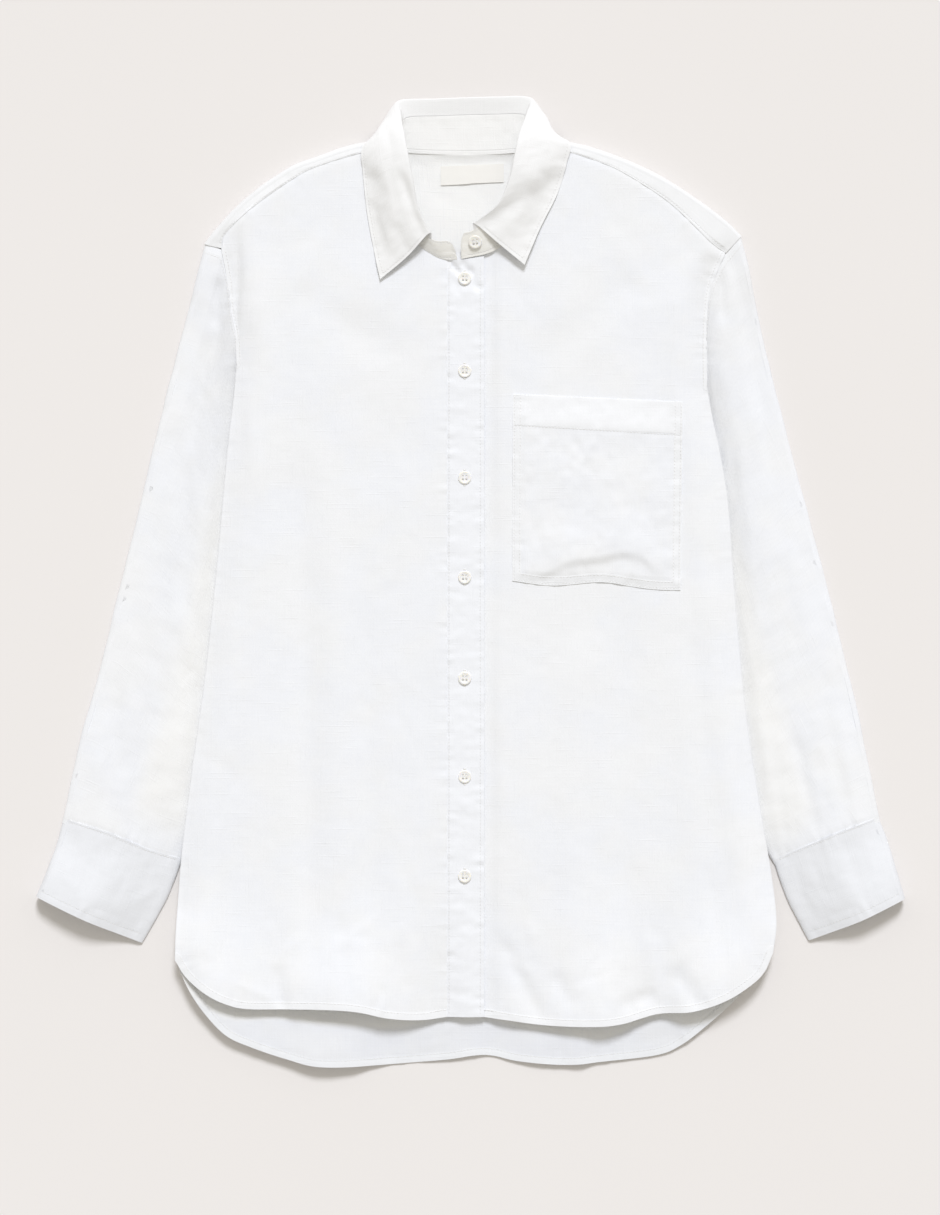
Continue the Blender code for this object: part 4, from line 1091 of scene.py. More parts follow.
# %% Pocket
(top_left, top_right, bottom_right, bottom_left) = (np.array(corner) for corner in POCKET)
POCKET_WIDTH, POCKET_DEPTH = 144.0, 157.0
POCKET_FOOT_WAVE = ((0, 0), (0.24, -2.2), (0.52, 3.0), (0.70, 1.0), (0.84, -0.6), (1.0, 0))


def pocket_plan(u, v):
    """Places on the pocket as seen from above: u across, v up from its uneven foot."""
    foot = mix(bottom_left[:, None], bottom_right[:, None], u)
    plan = mix(foot, mix(top_left[:, None], top_right[:, None], u), v)
    wave_u, wave = curve_through(POCKET_FOOT_WAVE)(np.linspace(0, 1, 80))
    plan[1] += np.interp(u, wave_u, wave) * np.clip(1 - v, 0, 1) ** 5
    return plan


POCKET_SAG = (
    (36, -4), (56, 0.5), (70, 8), (88, 15.5), (110, 18), (128, 22), (144, 20), (156, 11), (166, 4), (180, -2),
)
POCKET_CREASES = (
    (96, 132, 104, 108, 4, 0.5), (110, 134, 100, 112, 3, -0.4), (86, 126, 92, 104, 3.5, 0.4),
    (88, 122, 100, 98, 3.4, 0.5), (105, 120, 92, 96, 3.0, -0.5), (84, 106, 106, 92, 3.4, 0.45),
    (78, 112, 88, 84, 3.6, 0.3), (112, 122, 118, 100, 3.5, 0.5), (60, 150, 64, 120, 5, 0.4),
    (150, 146, 144, 112, 5, 0.4), (52, 60, 58, 20, 7, 0.5), (150, 70, 158, 24, 7, 0.5),
    (100, 86, 84, 44, 8, 0.5), (128, 60, 120, 30, 6, -0.5),
)
STITCHED_DOWN = 5.0


def pocket_edge_distance(u, v):
    return np.minimum(np.minimum(u, 1 - u) * POCKET_WIDTH, v * POCKET_DEPTH)


def pocket_surface(u, v):
    x, y = pocket_plan(u, v)
    puff = POCKET_PUFF * np.sin(np.pi * u) * np.sin(np.pi * v) ** 0.5
    loose = smoothstep(1.0, STITCHED_DOWN + 6, pocket_edge_distance(u, v))
    sag_y = np.interp(x, *curve_through(POCKET_SAG)(np.linspace(0, 1, 120)))
    above = smoothstep(sag_y - 4.6, sag_y + 4.6, y)
    fades = smoothstep(168, 146, x)
    over_sag = np.exp(-((np.maximum(y - sag_y - 4, 0) / 24) ** 2))
    bulge = 1.6 * above * over_sag * np.sin(np.pi * u) ** 0.5 * fades
    full = mix(1.0, mix(0.35, 1.0, above), fades)
    opening = mix(1.0, 0.3, smoothstep(0.84, 1.0, v))
    return np.array([x, y, front_top(x, y) + 0.75 * opening + loose * opening * (1.35 + puff * full + bulge)])


def pocket_relief(a, b, u, v):
    return 0.3 * rumple(a, b, 51, 14, 60) + 0.14 * rumple(a, b, 52, 7, 16) - fold_depth(POCKET_CREASES, a, b)


def pocket_path(*places):
    """A line on the pocket through places given in millimetres from its bottom left corner, across and up."""
    return pocket_plan(*spread([(across / POCKET_WIDTH, up / POCKET_DEPTH) for across, up in places], 30))


pocket_rows = [
    pocket_path((1.4, 156), (1.4, 1.4), (142.6, 1.4), (142.6, 156)),
    pocket_path((6.4, 156), (6.4, 6.4), (137.6, 6.4), (137.6, 156)),
    pocket_path((1.4, 131), (142.6, 129)),
]
pocket, pocket_thread = panel(
    "chest_pocket", 78, 84, pocket_surface, LINEN, wall=THIN_CLOTH, flat=True, relief=pocket_relief,
    sewn=[Sewn(pocket_rows[0], 0.22, 5.0), Sewn(pocket_rows[1], 0.22, 5.0), Sewn(pocket_rows[2], 0.15, 6.0)],
    doubled=[
        Doubled(pocket_path((0, 143.5), (144, 143.5)), 13.5),
        Doubled(pocket_path((0, 157), (0, 0), (144, 0), (144, 157)), 7.4),
    ],
)
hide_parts("pocket")

# %% [markdown]
# Each sleeve is a tube, flattened with two soft turned edges, and its inner edge lies under the body. Its
# upper face has the long creases that run down from the shoulder. The sleeve's end slips into the cuff,
# and its head slips under the armhole's edge, where the two are sewn together.

# %% Sleeves and cuffs
def flattened_ring(k, width, height, top, turn, under):
    """A flattened tube's section for k in 0..1: how far across (0..1), and how high."""
    radius = height / 2
    faces = k * (top + under + 2 * turn)
    right = np.pi * np.clip(faces - top, 0, turn) / turn
    left = np.pi * np.clip(faces - top - turn - under, 0, turn) / turn
    on_top = mix(radius, width - radius, np.clip(faces / top, 0, 1))
    beneath = mix(width - radius, radius, np.clip((faces - top - turn) / under, 0, 1))
    across = np.where(faces < top, on_top, np.where(
        faces < top + turn, width - radius + radius * np.sin(right),
        np.where(faces < top + turn + under, beneath, radius - radius * np.sin(left))))
    z = np.where(faces < top, height, np.where(
        faces < top + turn, radius + radius * np.cos(right),
        np.where(faces < top + turn + under, 0.0, radius - radius * np.cos(left))))
    return across / width, z


def across_top(ring, u):
    """How far across a tube's upper face (0..1) a point is, from its place round the tube."""
    top, turn, under = ring
    return np.clip(u * (top + under + 2 * turn) / top, 0, 1)


def tube_surface(area, height, ring, folds=(), drawn_in=None, share_of_height=None):
    def at(u, v):
        zero = np.zeros_like(v)
        width = np.linalg.norm(area(zero + 1, v) - area(zero, v), axis=0)
        across, z = flattened_ring(u % 1.0, width, height, *ring)
        x, y = area(across, v)
        middle = smoothstep(0.0, 0.12, across) * smoothstep(1.0, 0.88, across)
        z = np.where(z > height * 0.7, z - fold_depth(folds, x, y) * middle, z)
        if drawn_in:
            z = height / 2 + (z - height / 2) * drawn_in(v)
        if share_of_height is not None:
            z = z * share_of_height(x, y, across, v)
        return np.array([x, y, z])

    return at


def low_inside(across):
    """How a cuff and the sleeve's end by it thin out towards their inner edge (across = 1)."""
    return mix(1.0, 0.34, smoothstep(0.4, 1.0, across))


def sleeve_share(side):
    """The share of its height that a sleeve keeps: less under the body and at the cuff's inner edge."""

    def at(x, y, across, v):
        covered = (np.interp(y, *EDGE_X[side]) - x) * side
        below = smoothstep(UNDERARM_Y[side] + 25, UNDERARM_Y[side] - 25, y)
        under_body = mix(1.0, 0.56, smoothstep(-20, 3, covered) * below)
        outer_edge = mix(mix(0.62, 1.0, smoothstep(0.0, 0.2, across)), 1.0, smoothstep(0.84, 0.96, v))
        return np.minimum(under_body, mix(1.0, low_inside(across), smoothstep(0.3, 0.0, v))) * outer_edge

    return at


def cuff_share(most):
    """The share of its height that a cuff keeps; its open end stands highest in the middle."""

    def at(x, y, across, v):
        arch = np.sin(np.pi * np.clip(0.16 + across * 0.84, 0, 1)) ** 0.8
        opened = 1 + most * smoothstep(1.0, 0.0, v) * arch
        outer_edge = mix(0.5, 1.0, smoothstep(0.0, 0.2, across))
        return low_inside(across) * opened * mix(1.0, outer_edge, smoothstep(0.2, 1.0, v))

    return at


def lengthened(area, foot_shift, top_shift):
    return lambda u, v: area(u, v) + np.outer(foot_shift, 1 - v) + np.outer(top_shift, v)


def on_tube(area, height, across, place, share):
    """A line across a tube's upper face, at one place along it (0..1)."""
    v = np.full_like(across, place)
    x, y = area(across, v)
    return np.array([x, y, height * share(x, y, across, v)])


SLEEVE_RING = (56, 8, 22)
CUFF_RING = (62, 8, 26)
ARM_CREASES = {
    "right": (
        (-244, 176, -262, 90, 5, 0.9), (-212, 176, -216, 100, 6, 0.8), (-228, 60, -238, -60, 6, -0.9),
        (-258, 10, -272, -120, 9, 1.0), (-292, 10, -304, -70, 7, -0.8), (-296, -140, -300, -206, 5, 1.1),
        (-318, -150, -326, -206, 5, -1.0), (-266, -160, -272, -226, 5, 1.0),
        (-246, -120, -256, -190, 6, -0.8),
        (-282, -186, -282, -224, 4, 0.9), (-334, -160, -338, -204, 4, 0.8), (-250, -205, -258, -236, 4, 0.8)),
    "left": (
        (244, 190, 260, 100, 5, 0.9), (222, 160, 226, 84, 6, 0.8), (238, 70, 248, -50, 7, -1.0),
        (232, -20, 262, -232, 5, -1.5), (270, 10, 284, -110, 9, 1.0), (300, 20, 312, -60, 7, -0.8),
        (300, -150, 308, -212, 5, 1.1), (326, -140, 332, -200, 5, -0.9), (284, -150, 286, -222, 4, 0.9),
        (268, -176, 272, -228, 4, -0.9), (340, -160, 342, -198, 4, 0.8)),
}
CUFF_CREASES = {
    "right": (
        (-340, -214, -346, -240, 4, 0.9), (-318, -226, -330, -262, 5, 0.8), (-300, -226, -306, -246, 4, -0.8),
        (-290, -246, -304, -272, 4, 0.9), (-272, -240, -276, -262, 4, 0.8), (-350, -250, -336, -262, 4, -0.7),
        (-322, -276, -300, -286, 4, 0.7), (-264, -262, -284, -276, 4, -0.7),
        (-330, -240, -312, -250, 4, 0.6)),
    "left": (
        (344, -214, 350, -240, 4, 0.9), (322, -222, 330, -256, 5, 0.8), (304, -228, 308, -250, 4, -0.8),
        (290, -240, 302, -270, 4, 0.9), (276, -246, 282, -272, 4, 0.8), (352, -252, 338, -262, 4, -0.7),
        (326, -276, 306, -286, 4, 0.7), (280, -262, 296, -282, 4, -0.7), (334, -240, 314, -250, 4, 0.6)),
}
SIDES = (
    ("right", SLEEVE_OUTER_RIGHT, SLEEVE_FOLD_RIGHT, SLEEVE_HEAD_RIGHT, SLEEVE_UNDER_RIGHT,
     CUFF_SEAM_RIGHT, CUFF_OUTER_RIGHT, CUFF_INNER_RIGHT, CUFF_HEM_RIGHT),
    ("left", SLEEVE_OUTER_LEFT, SLEEVE_FOLD_LEFT, SLEEVE_HEAD_LEFT, SLEEVE_UNDER_LEFT,
     CUFF_SEAM_LEFT, CUFF_OUTER_LEFT, CUFF_INNER_LEFT, CUFF_HEM_LEFT),
)
for side, outer, fold, head, under, seam, cuff_outer, cuff_inner, cuff_hem in SIDES:
    away = -1 if side == "right" else 1
    sleeve_area = lengthened(
        patch(curve_through(seam), curve_through(head[:2], head[1:], under),
              curve_through(outer[::-1]), curve_through(fold[::-1])),
        (1.5 * away, -4.0), (-2.0 * away, 0.8),
    )
    low_x, high_x = sorted((150 * away, 350 * away))
    strewn = loose_creases(61 + away, 34, (low_x, -230, high_x, 200), (14, 60), (2.5, 6), (0.12, 0.5), 0.5)

    def sleeve_relief(a, b, u, v, side=side, strewn=strewn, area=sleeve_area):
        across = across_top(SLEEVE_RING, u)
        x, y = area(across, v)
        on_top = np.where(across < 1, 1.0, 0.35)
        ends = smoothstep(0.0, 0.05, v) * smoothstep(1.0, 0.94, v)
        soft = 0.4 * rumple(a, b, 71, 22, 80) + 0.12 * rumple(a, b, 72, 10, 24)
        off_edges = smoothstep(0.02, 0.16, across) * smoothstep(1.0, 0.9, across)
        creased = (0.45 * fold_depth(ARM_CREASES[side], x, y) + 0.6 * fold_depth(strewn, x, y)) * off_edges
        return (soft - creased * on_top) * mix(0.3, 1, ends)

    # Painted light: the sleeve's inner strip beside the body's edge is painted paler and creamier, lifting
    # the shade that the body casts there.
    def sleeve_painted_light(u, v):
        inner = smoothstep(0.42, 0.62, across_top(SLEEVE_RING, u)) * smoothstep(0.75, 0.66, u)
        return 0.7 * inner * smoothstep(0.02, 0.10, v) * smoothstep(1.0, 0.9, v)

    sleeve, sleeve_thread = panel(
        f"sleeve_{side}_tube", 94, 190,
        tube_surface(sleeve_area, SLEEVE_HEIGHT, SLEEVE_RING, SLEEVE_FOLDS,
                     lambda v: 1 - 0.24 * smoothstep(0.018, 0.0, v) - 0.22 * smoothstep(0.985, 1.0, v),
                     sleeve_share(away)),
        LINEN, closed=True, relief=sleeve_relief, painted_light_and_shade_amount=sleeve_painted_light,
        sewn=[
            Sewn(on_tube(sleeve_area, SLEEVE_HEIGHT, SEAM_POINTS, place, sleeve_share(away)), pucker, 9.0)
            for place, pucker in ((0.008, 0.4), (0.985, 0.3))],
    )
    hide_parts(f"sleeve_{side}")

    cuff_area = patch(curve_through(cuff_hem), curve_through(seam),
                      curve_through(cuff_outer[::-1]), curve_through(cuff_inner[::-1]))

    def cuff_relief(a, b, u, v, side=side, area=cuff_area):
        x, y = area(across_top(CUFF_RING, u), v)
        soft = 0.32 * rumple(a, b, 81 + len(side), 22, 60) + 0.09 * rumple(a, b, 82, 8, 20)
        return soft - 0.5 * fold_depth(CUFF_CREASES[side], x, y)

    share = cuff_share(1.15 if side == "right" else 0.95)
    across_cuff = np.linspace(0.04, 0.95, 60)
    seam_rows = [on_tube(cuff_area, CUFF_HEIGHT, across_cuff, place, share) for place in (0.975, 0.09)]
    cuff, cuff_thread = panel(
        f"cuff_{side}_band", 104, 46,
        tube_surface(cuff_area, CUFF_HEIGHT, CUFF_RING, share_of_height=share),
        CUFF_LINEN_PAINTED_SHADE, wall=CUFF_CLOTH, closed=True, relief=cuff_relief, double_all_over=True,
        sewn=[Sewn(row, 0.3, 6.0) for row in seam_rows],
    )
    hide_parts(f"cuff_{side}")

# %% [markdown]
# The yoke goes over both shoulders: two strips show in front of them, and its inside shows in the neck
# opening. It is one sheet, lofted through sections from one shoulder tip to the other, so its folds over
# the shoulders are part of the same surface.

# %% Yoke
def section_surface(rows_count, point_of_row, rows):
    """A surface from sections: every row of points along it is a smooth curve through the sections."""

    def at(u, v):
        points = np.zeros((3, len(u)))
        place = np.rint(v * rows_count).astype(int)
        for number in range(rows_count + 1):
            here = place == number
            points[:, here] = lofted([point_of_row(row, number / rows_count) for row in rows])(u[here])
        return points

    return at


YOKE_ROWS_ROUND = 66
yoke_points = section_surface(YOKE_ROWS_ROUND, yoke_row_point, YOKE_ROWS)


def yoke_surface(u, v):
    """The yoke's surface, whose front edge lies on the fronts all along both shoulder seams."""
    points = yoke_points(u, v)
    row = u * (len(YOKE_ROWS) - 1)
    on_fronts = front_top(points[0], points[1]) - 0.1
    seam = (v < 0.02) & ((row < NECK_FROM_ROW) | (row > NECK_TO_ROW))
    points[2] = np.where(seam, on_fronts, np.maximum(points[2], 0))
    return points


def yoke_line(first, last, v, count=70):
    u = np.linspace(first, last, count) / (len(YOKE_ROWS) - 1)
    return yoke_surface(u, np.full(count, v))


def yoke_relief(a, b, u, v):
    return 0.28 * rumple(a, b, 91, 12, 60) * smoothstep(0.0, 0.08, v) * smoothstep(1.0, 0.9, v)


def yoke_painted_light(u, v):
    """Inside the neck the yoke is painted paler and a little creamier: painted light that lifts the shade
    under the collar.
    """
    return smoothstep(0.30, 0.36, u) * smoothstep(0.70, 0.64, u)


yoke_rows = [yoke_line(0.3, 4.9, 1.5 / YOKE_ROWS_ROUND), yoke_line(13.1, 17.7, 1.5 / YOKE_ROWS_ROUND)]
yoke, yoke_thread = panel(
    "shoulder_yoke", 220, YOKE_ROWS_ROUND, yoke_surface, YOKE_LINEN_PAINTED_LIGHT_AND_SHADE, wall=DOUBLE_CLOTH,
    relief=yoke_relief, double_all_over=True, faces_up=lambda u, v: v < 0.1, painted_light_and_shade_amount=yoke_painted_light,
    sewn=[Sewn(row, 0.15, 6.0) for row in yoke_rows],
)
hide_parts("yoke")

# %% [markdown]
# The collar is two pieces. The stand rises round the neck, and the leaf is sewn to its upper edge, turns
# over and comes down to two points. Both are lofted through the same sections as in the CAD, with a
# doubled wall, and the leaf's rumples and edge stitching are added on the finer grid.

# %% Collar
stand_section = lofted(
    [STAND_RIGHT_END, *[(*row[0], *row[1]) for row in COLLAR_ROWS], STAND_LEFT_END])
leaf_section = lofted([(*row[2], *row[3], *row[4]) for row in COLLAR_ROWS])
LEAF_SPANS = len(COLLAR_ROWS) - 1
STAND_RUNS_ON, STAND_LENGTH, STAND_CORNER = 3.4, 395.0, 9.0
ROOT_ABOVE_STAND, LEAF_CLEARANCE, LEAF_PLAY = 0.2, 0.5, 0.4
STAND_SPANS = LEAF_SPANS + 2


def stand_rise(u):
    """The stand's foot and top at places along it, and the way up from one to the other."""
    numbers = stand_section(u)
    foot, top = numbers[:3], numbers[3:]
    return foot, top, (top - foot) / np.linalg.norm(top - foot, axis=0)


def stand_surface(u, v):
    """The stand, whose foot runs on a little past the CAD's, and whose top is rounded off at both ends."""
    foot, top, up_the_stand = stand_rise(u)
    from_end = np.clip(np.minimum(u, 1 - u) * STAND_LENGTH / STAND_CORNER, 0, 1)
    rounded = mix(0.5, 1.0, np.sqrt(1 - (1 - from_end) ** 2))
    return mix(foot - up_the_stand * STAND_RUNS_ON, top, v * rounded)


def leaf_surface(u, v):
    _, top, up_the_stand = stand_rise((1 + u * LEAF_SPANS) / STAND_SPANS)
    parts = leaf_section(u)
    fold, over, edge = parts[:3], parts[3:6], parts[6:]
    root = top + up_the_stand * ROOT_ABOVE_STAND
    before = root - up_the_stand * np.linalg.norm(fold - root, axis=0)
    leaf = np.array((before, root, fold, over, edge, 2 * edge - over))
    place = np.minimum(v, 0.999999) * 3
    index = place.astype(int)
    every = np.arange(len(u))
    four = [leaf[index + step, :, every].T for step in range(4)]
    x, y, z = smooth_point(four, place - index)
    on_the_cloth = front_height(x, y) + WALL + LEAF_CLEARANCE
    off_points = smoothstep(0.0, 0.10, np.minimum(u, 1 - u))
    settling = smoothstep(356, 340, y) * smoothstep(0.62, 1.0, v) * off_points
    return np.array([x, y, mix(z, np.minimum(z, on_the_cloth + LEAF_PLAY), settling)])


LEAF_CREASES = (
    (7, 303, 60, 334, 9.0, 3.0), (-59, 346, -40, 294, 4.8, 2.6), (-71, 356, -60, 312, 4.5, 0.7),
    (-84, 338, -68, 284, 5.5, -1.2), (-80, 322, -74, 290, 4.0, 0.8), (-66, 306, -52, 280, 5.0, 0.9),
    (-70, 384, -66, 352, 4.0, 0.7), (74, 330, 62, 304, 5.0, -0.9), (60, 352, 66, 330, 4.0, 0.5),
    (44, 392, 30, 396, 4.0, 0.6), (-44, 402, -12, 398, 4.0, 0.7), (8, 404, 34, 402, 4.0, 0.5),
)


def leaf_relief(a, b, u, v):
    soft = 0.3 * rumple(a, b, 101, 12, 50) + 0.12 * rumple(a, b, 102, 6, 14)
    x, y, _ = leaf_surface(u, v)
    return (soft - fold_depth(LEAF_CREASES, x, y)) * smoothstep(0.2, 0.5, v)


LEAF_STITCHES = (
    (0.006, 0.45), (0.007, 0.955), (0.25, 0.955), (0.5, 0.955), (0.75, 0.955), (0.993, 0.955), (0.994, 0.45),
)
leaf_row = leaf_surface(*spread(LEAF_STITCHES, 60))
leaf, leaf_thread = panel(
    "collar_leaf_cloth", 330, 54, leaf_surface, COLLAR_LINEN, wall=DOUBLE_CLOTH, out=DOUBLE_CLOTH / 2,
    relief=leaf_relief, sewn=[Sewn(leaf_row, 0.16, 5.0)], double_all_over=True,
)
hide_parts("collar_leaf")


def stand_line(first, last, v):
    return stand_surface(np.linspace(first, last, 160), np.full(160, v))


# The stand's ends are painted darker and warmer: painted shade where the leaf's points lie over them.
stand, stand_thread = panel(
    "collar_stand_cloth", 300, 20, stand_surface, STAND_LINEN_PAINTED_LIGHT_AND_SHADE, wall=DOUBLE_CLOTH, out=DOUBLE_CLOTH / 2,
    painted_light_and_shade_amount=lambda u, v: smoothstep(0.13, 0.04, u) + smoothstep(0.87, 0.96, u),
    sewn=[Sewn(stand_line(0.01, 0.99, 0.10), 0.12, 4.0), Sewn(stand_line(0.01, 0.99, 0.93), 0.10, 4.0)],
    relief=lambda a, b, u, v: 0.14 * rumple(a, b, 103, 9, 30), double_all_over=True,
)
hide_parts("collar_stand")

# %% [markdown]
# The neck label is a short length of woven tape, folded under at both ends and sewn to the yoke along
# them. It is left bare. It curves a very little, because its lower edge is free.

# %% Neck label
def label_surface(u, v):
    x, y = LABEL_CENTRE[0] + LABEL_SIZE[0] * (u - 0.5), LABEL_CENTRE[1] + LABEL_SIZE[1] * (v - 0.5)
    y = y + 0.042 * (x - LABEL_CENTRE[0]) + 0.5 * (1 - v) * smoothstep(-4, 2, x) - 0.25 * (1 - v)
    bow = 0.5 * np.sin(np.pi * u) * (1 - v)
    return np.array([x, y, np.full_like(x, LABEL_HEIGHT) + bow])


label, _ = panel(
    "neck_label_tape", 54, 16, label_surface, LABEL_TAPE, wall=THIN_CLOTH, flat=True,
    relief=lambda a, b, u, v: 0.08 * rumple(a, b, 111, 8, 30),
)
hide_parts("neck_label")

# %% [markdown]
# The buttons are pale and pearly, with a raised rim, a dished middle and four holes. A button is turned
# on a lathe, so its profile is spun round the axis, all but the two flat faces. The walls of the holes
# are four short tubes, and a triangle fill closes each flat face between its edge and the holes, so the
# holes are real.

# %% Button
BUTTON_DIAMETER, BUTTON_HEIGHT, BUTTON_RIM, BUTTON_DISH = 11.4, 1.9, 1.5, 1.45
HOLE_RADIUS, HOLE_FROM_MIDDLE = 0.75, 1.45


def button_mesh():
    radius = BUTTON_DIAMETER / 2
    profile = (
        (radius - BUTTON_RIM - 0.9, BUTTON_DISH), (radius - BUTTON_RIM - 0.3, BUTTON_DISH + 0.3),
        (radius - BUTTON_RIM + 0.2, BUTTON_HEIGHT - 0.1), (radius - 1.0, BUTTON_HEIGHT),
        (radius - 0.4, BUTTON_HEIGHT - 0.15), (radius, BUTTON_HEIGHT - 0.8), (radius - 0.25, 0.9),
        (radius - 0.9, 0.3), (radius - 2.0, 0.0),
    )
    mesh = bmesh.new()
    points = [mesh.verts.new((r, 0, z)) for r, z in profile]
    edges = [mesh.edges.new(pair) for pair in zip(points, points[1:])]
    bmesh.ops.spin(mesh, geom=points + edges, axis=(0, 0, 1), cent=(0, 0, 0),
                   angle=2 * math.pi, steps=40, use_merge=True)
    for across in (-HOLE_FROM_MIDDLE, HOLE_FROM_MIDDLE):
        for along in (-HOLE_FROM_MIDDLE, HOLE_FROM_MIDDLE):
            circle = bmesh.ops.create_circle(
                mesh, segments=12, radius=HOLE_RADIUS, matrix=Matrix.Translation((across, along, 0)))["verts"]
            rim = list({edge for vertex in circle for edge in vertex.link_edges})
            raised = bmesh.ops.extrude_edge_only(mesh, edges=rim)["geom"]
            upper_rim = [item for item in raised if isinstance(item, bmesh.types.BMVert)]
            bmesh.ops.translate(mesh, vec=(0, 0, BUTTON_DISH), verts=upper_rim)
    for level in (0.0, BUTTON_DISH):
        rims = [edge for edge in mesh.edges if edge.is_boundary]
        open_edges = [edge for edge in rims if abs(edge.verts[0].co.z - level) < 0.01]
        bmesh.ops.triangle_fill(mesh, use_beauty=True, edges=open_edges)
    bmesh.ops.recalc_face_normals(mesh, faces=mesh.faces)
    print("button:", len(mesh.faces), "faces, all joined:", all(edge.is_manifold for edge in mesh.edges))
    return mesh


# %% [markdown]
# Each button is sewn on with thread that arches from hole to hole, and it goes through a buttonhole,
# whose two sides and ends are bound in close stitches across. Only the ends of a buttonhole show, above
# and below its button.

# %% Button thread and buttonholes
BUTTONHOLE_LENGTH, BOUND_WIDTH, BOUND_PITCH = 13.8, 1.1, 0.62
BOUND_END, BOUND_END_WIDTH, BOUND_OFF_SLIT = 1.3, 2.9, 0.85


def button_thread(mesh, place):
    """Two arches of thread that dip into the holes."""
    for across in (-HOLE_FROM_MIDDLE, HOLE_FROM_MIDDLE):
        arch = bmesh.new()
        start = Matrix.Translation((across, HOLE_FROM_MIDDLE, -0.35))
        circle = bmesh.ops.create_circle(arch, segments=8, radius=0.42, matrix=start)["verts"]
        edges = list(arch.edges)
        bmesh.ops.spin(
            arch, geom=circle + edges, axis=(1, 0, 0), cent=(across, 0, -0.35), angle=math.pi, steps=9)
        bmesh.ops.holes_fill(arch, edges=arch.edges, sides=0)
        bmesh.ops.recalc_face_normals(arch, faces=arch.faces)
        squash = Matrix.Translation((0, 0, BUTTON_DISH + 0.1)) @ Matrix.Diagonal((1, 1, 0.62, 1))
        bmesh.ops.transform(arch, matrix=place @ Matrix.Scale(MM, 4) @ squash, verts=arch.verts)
        joined = bpy.data.meshes.new("arch")
        arch.to_mesh(joined)
        arch.free()
        mesh.from_mesh(joined)
        bpy.data.meshes.remove(joined)


def bound_stitch(mesh, place, width, length):
    size = Matrix.Diagonal((width / 2, length / 2, 0.30, 1))
    bmesh.ops.create_icosphere(mesh, subdivisions=1, radius=1.0, matrix=place @ Matrix.Scale(MM, 4) @ size)


def placket_top(x, y):
    u = (x - PLACKET_LEFT) / (PLACKET_RIGHT - PLACKET_LEFT)
    v = (y - PLACKET_FOOT) / (PLACKET_TOP - PLACKET_FOOT)
    return placket_surface(u, v)[2] + placket_relief(x, y, None, None)


def buttonhole(mesh, x, y):
    """Close stitches down both sides of a slit and across its two ends."""
    places = []
    for along in np.arange(-BUTTONHOLE_LENGTH / 2, BUTTONHOLE_LENGTH / 2, BOUND_PITCH):
        end = abs(along) > BUTTONHOLE_LENGTH / 2 - BOUND_END
        sides, width = ((0.0,), BOUND_END_WIDTH) if end else ((-BOUND_OFF_SLIT, BOUND_OFF_SLIT), BOUND_WIDTH)
        places += [(x + across, y + along, width) for across in sides]
    across, along, widths = np.array(places).T
    for place in zip(across, along, placket_top(across, along) + 0.12, widths):
        bound_stitch(mesh, Matrix.Translation(Vector(place[:3]) * MM), place[3], BOUND_PITCH * 1.25)


# %% Place the buttons
def place_button(name, node, place, holds=None):
    mesh = button_mesh()
    bmesh.ops.transform(mesh, matrix=place @ Matrix.Scale(MM, 4), verts=mesh.verts)
    made = finished(name, mesh, PEARL)
    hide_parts(node)
    sewing = bmesh.new()
    button_thread(sewing, place)
    if holds:
        buttonhole(sewing, *holds)
    thread = finished(f"{name}_thread", sewing, THREAD)


reach = (-BUTTON_DIAMETER / 2, 0, BUTTON_DIAMETER / 2)
for number, y in enumerate(BUTTON_Y, 1):
    under = max(front_height(BUTTON_X + dx, y + dy)[0] for dx in reach for dy in reach)
    place_button(f"pearl_button_{number}", f"button_{number}",
                 Matrix.Translation(Vector((BUTTON_X, y, under + WALL - 0.5)) * MM), (BUTTON_X, y))
numbers = stand_section(STAND_BUTTON_AT)[:, 0]
foot, top = Vector(numbers[:3]), Vector(numbers[3:])
before, after = (Vector(stand_section(STAND_BUTTON_AT + step)[:3, 0]) for step in (-0.01, 0.01))
ahead = after - before
face = (top - foot).normalized().cross(ahead).normalized()
face = face if face.z > 0 else -face
turn = face.to_track_quat("Z", "Y").to_matrix().to_4x4()
place_button("pearl_button_stand", "button_stand",
             Matrix.Translation(((foot + top) / 2 + face * (WALL / 2 + 0.6)) * MM) @ turn)

# %% [markdown]
# The photo was taken from straight above, on a pale warm surface under soft light that comes mostly from
# beyond the collar. A distant lamp with a wide disc gives shadows with soft edges, and an even, slightly
# warm sky fills them. The camera hangs three metres up.

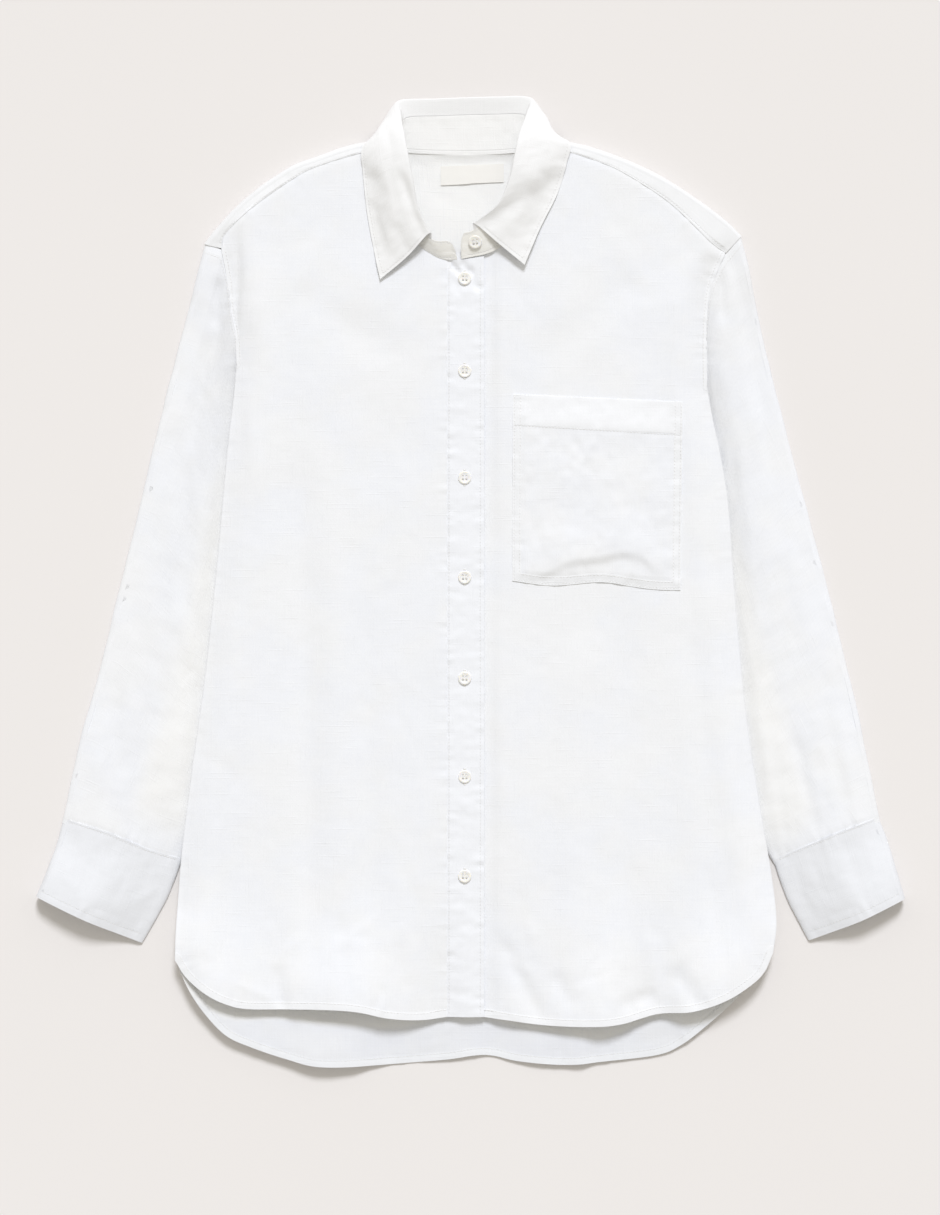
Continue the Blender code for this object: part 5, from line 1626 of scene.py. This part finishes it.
# %% Floor, light and camera
def floor():
    mesh = bmesh.new()
    bmesh.ops.create_grid(mesh, x_segments=1, y_segments=1, size=3.0)
    data = bpy.data.meshes.new("floor")
    mesh.to_mesh(data)
    mesh.free()
    recipe = Recipe("pale warm surface", Roughness=0.9, Specular_IOR_Level=0.2)
    place = recipe.add("ShaderNodeTexCoord", output=3)
    recipe.feed("Base Color", recipe.blended(
        recipe.noise(place, 3.0, 4.0), (0.835, 0.806, 0.786, 1), (0.85, 0.821, 0.803, 1)))
    recipe.relief(recipe.noise(place, 900.0, 2.0) * 0.03)
    data.materials.append(recipe.material)
    made = bpy.data.objects.new("floor", data)
    bpy.context.scene.collection.objects.link(made)


floor()


def window_light():
    """Even light from one side, as from a big window a few metres off, soft at the edges of its shadows."""
    data = bpy.data.lights.new("window", "SUN")
    data.energy, data.angle, data.color = WINDOW_STRENGTH, math.radians(WINDOW_DEGREES), WINDOW_COLOUR
    made = bpy.data.objects.new("window", data)
    made.rotation_euler = (-WINDOW_FROM).to_track_quat("-Z", "Y").to_euler()
    bpy.context.scene.collection.objects.link(made)


WINDOW_FROM = Vector((0.08, 0.68, 0.73))
WINDOW_STRENGTH, WINDOW_DEGREES, WINDOW_COLOUR = 2.08, 16, (0.957, 0.982, 1.051)
SKY_STRENGTH, SKY_COLOUR = 0.55, (1.02, 0.989, 0.915, 1)
window_light()
sky = bpy.data.worlds.new("studio")
sky.use_nodes = True
sky.node_tree.nodes["Background"].inputs["Color"].default_value = SKY_COLOUR
sky.node_tree.nodes["Background"].inputs["Strength"].default_value = SKY_STRENGTH
bpy.context.scene.world = sky
bpy.context.scene.view_settings.view_transform = "Standard"

CAMERA_HEIGHT, SHIRT_MIDDLE_HEIGHT = 2.99, 0.006
VIEW_HEIGHT = 1.0388
camera = bpy.data.cameras.new("camera")
camera.lens = camera.sensor_width * (CAMERA_HEIGHT - SHIRT_MIDDLE_HEIGHT) / VIEW_HEIGHT
view = bpy.data.objects.new("camera", camera)
view.location = (-0.0005, -0.0218, CAMERA_HEIGHT)
bpy.context.scene.collection.objects.link(view)
bpy.context.scene.camera = view
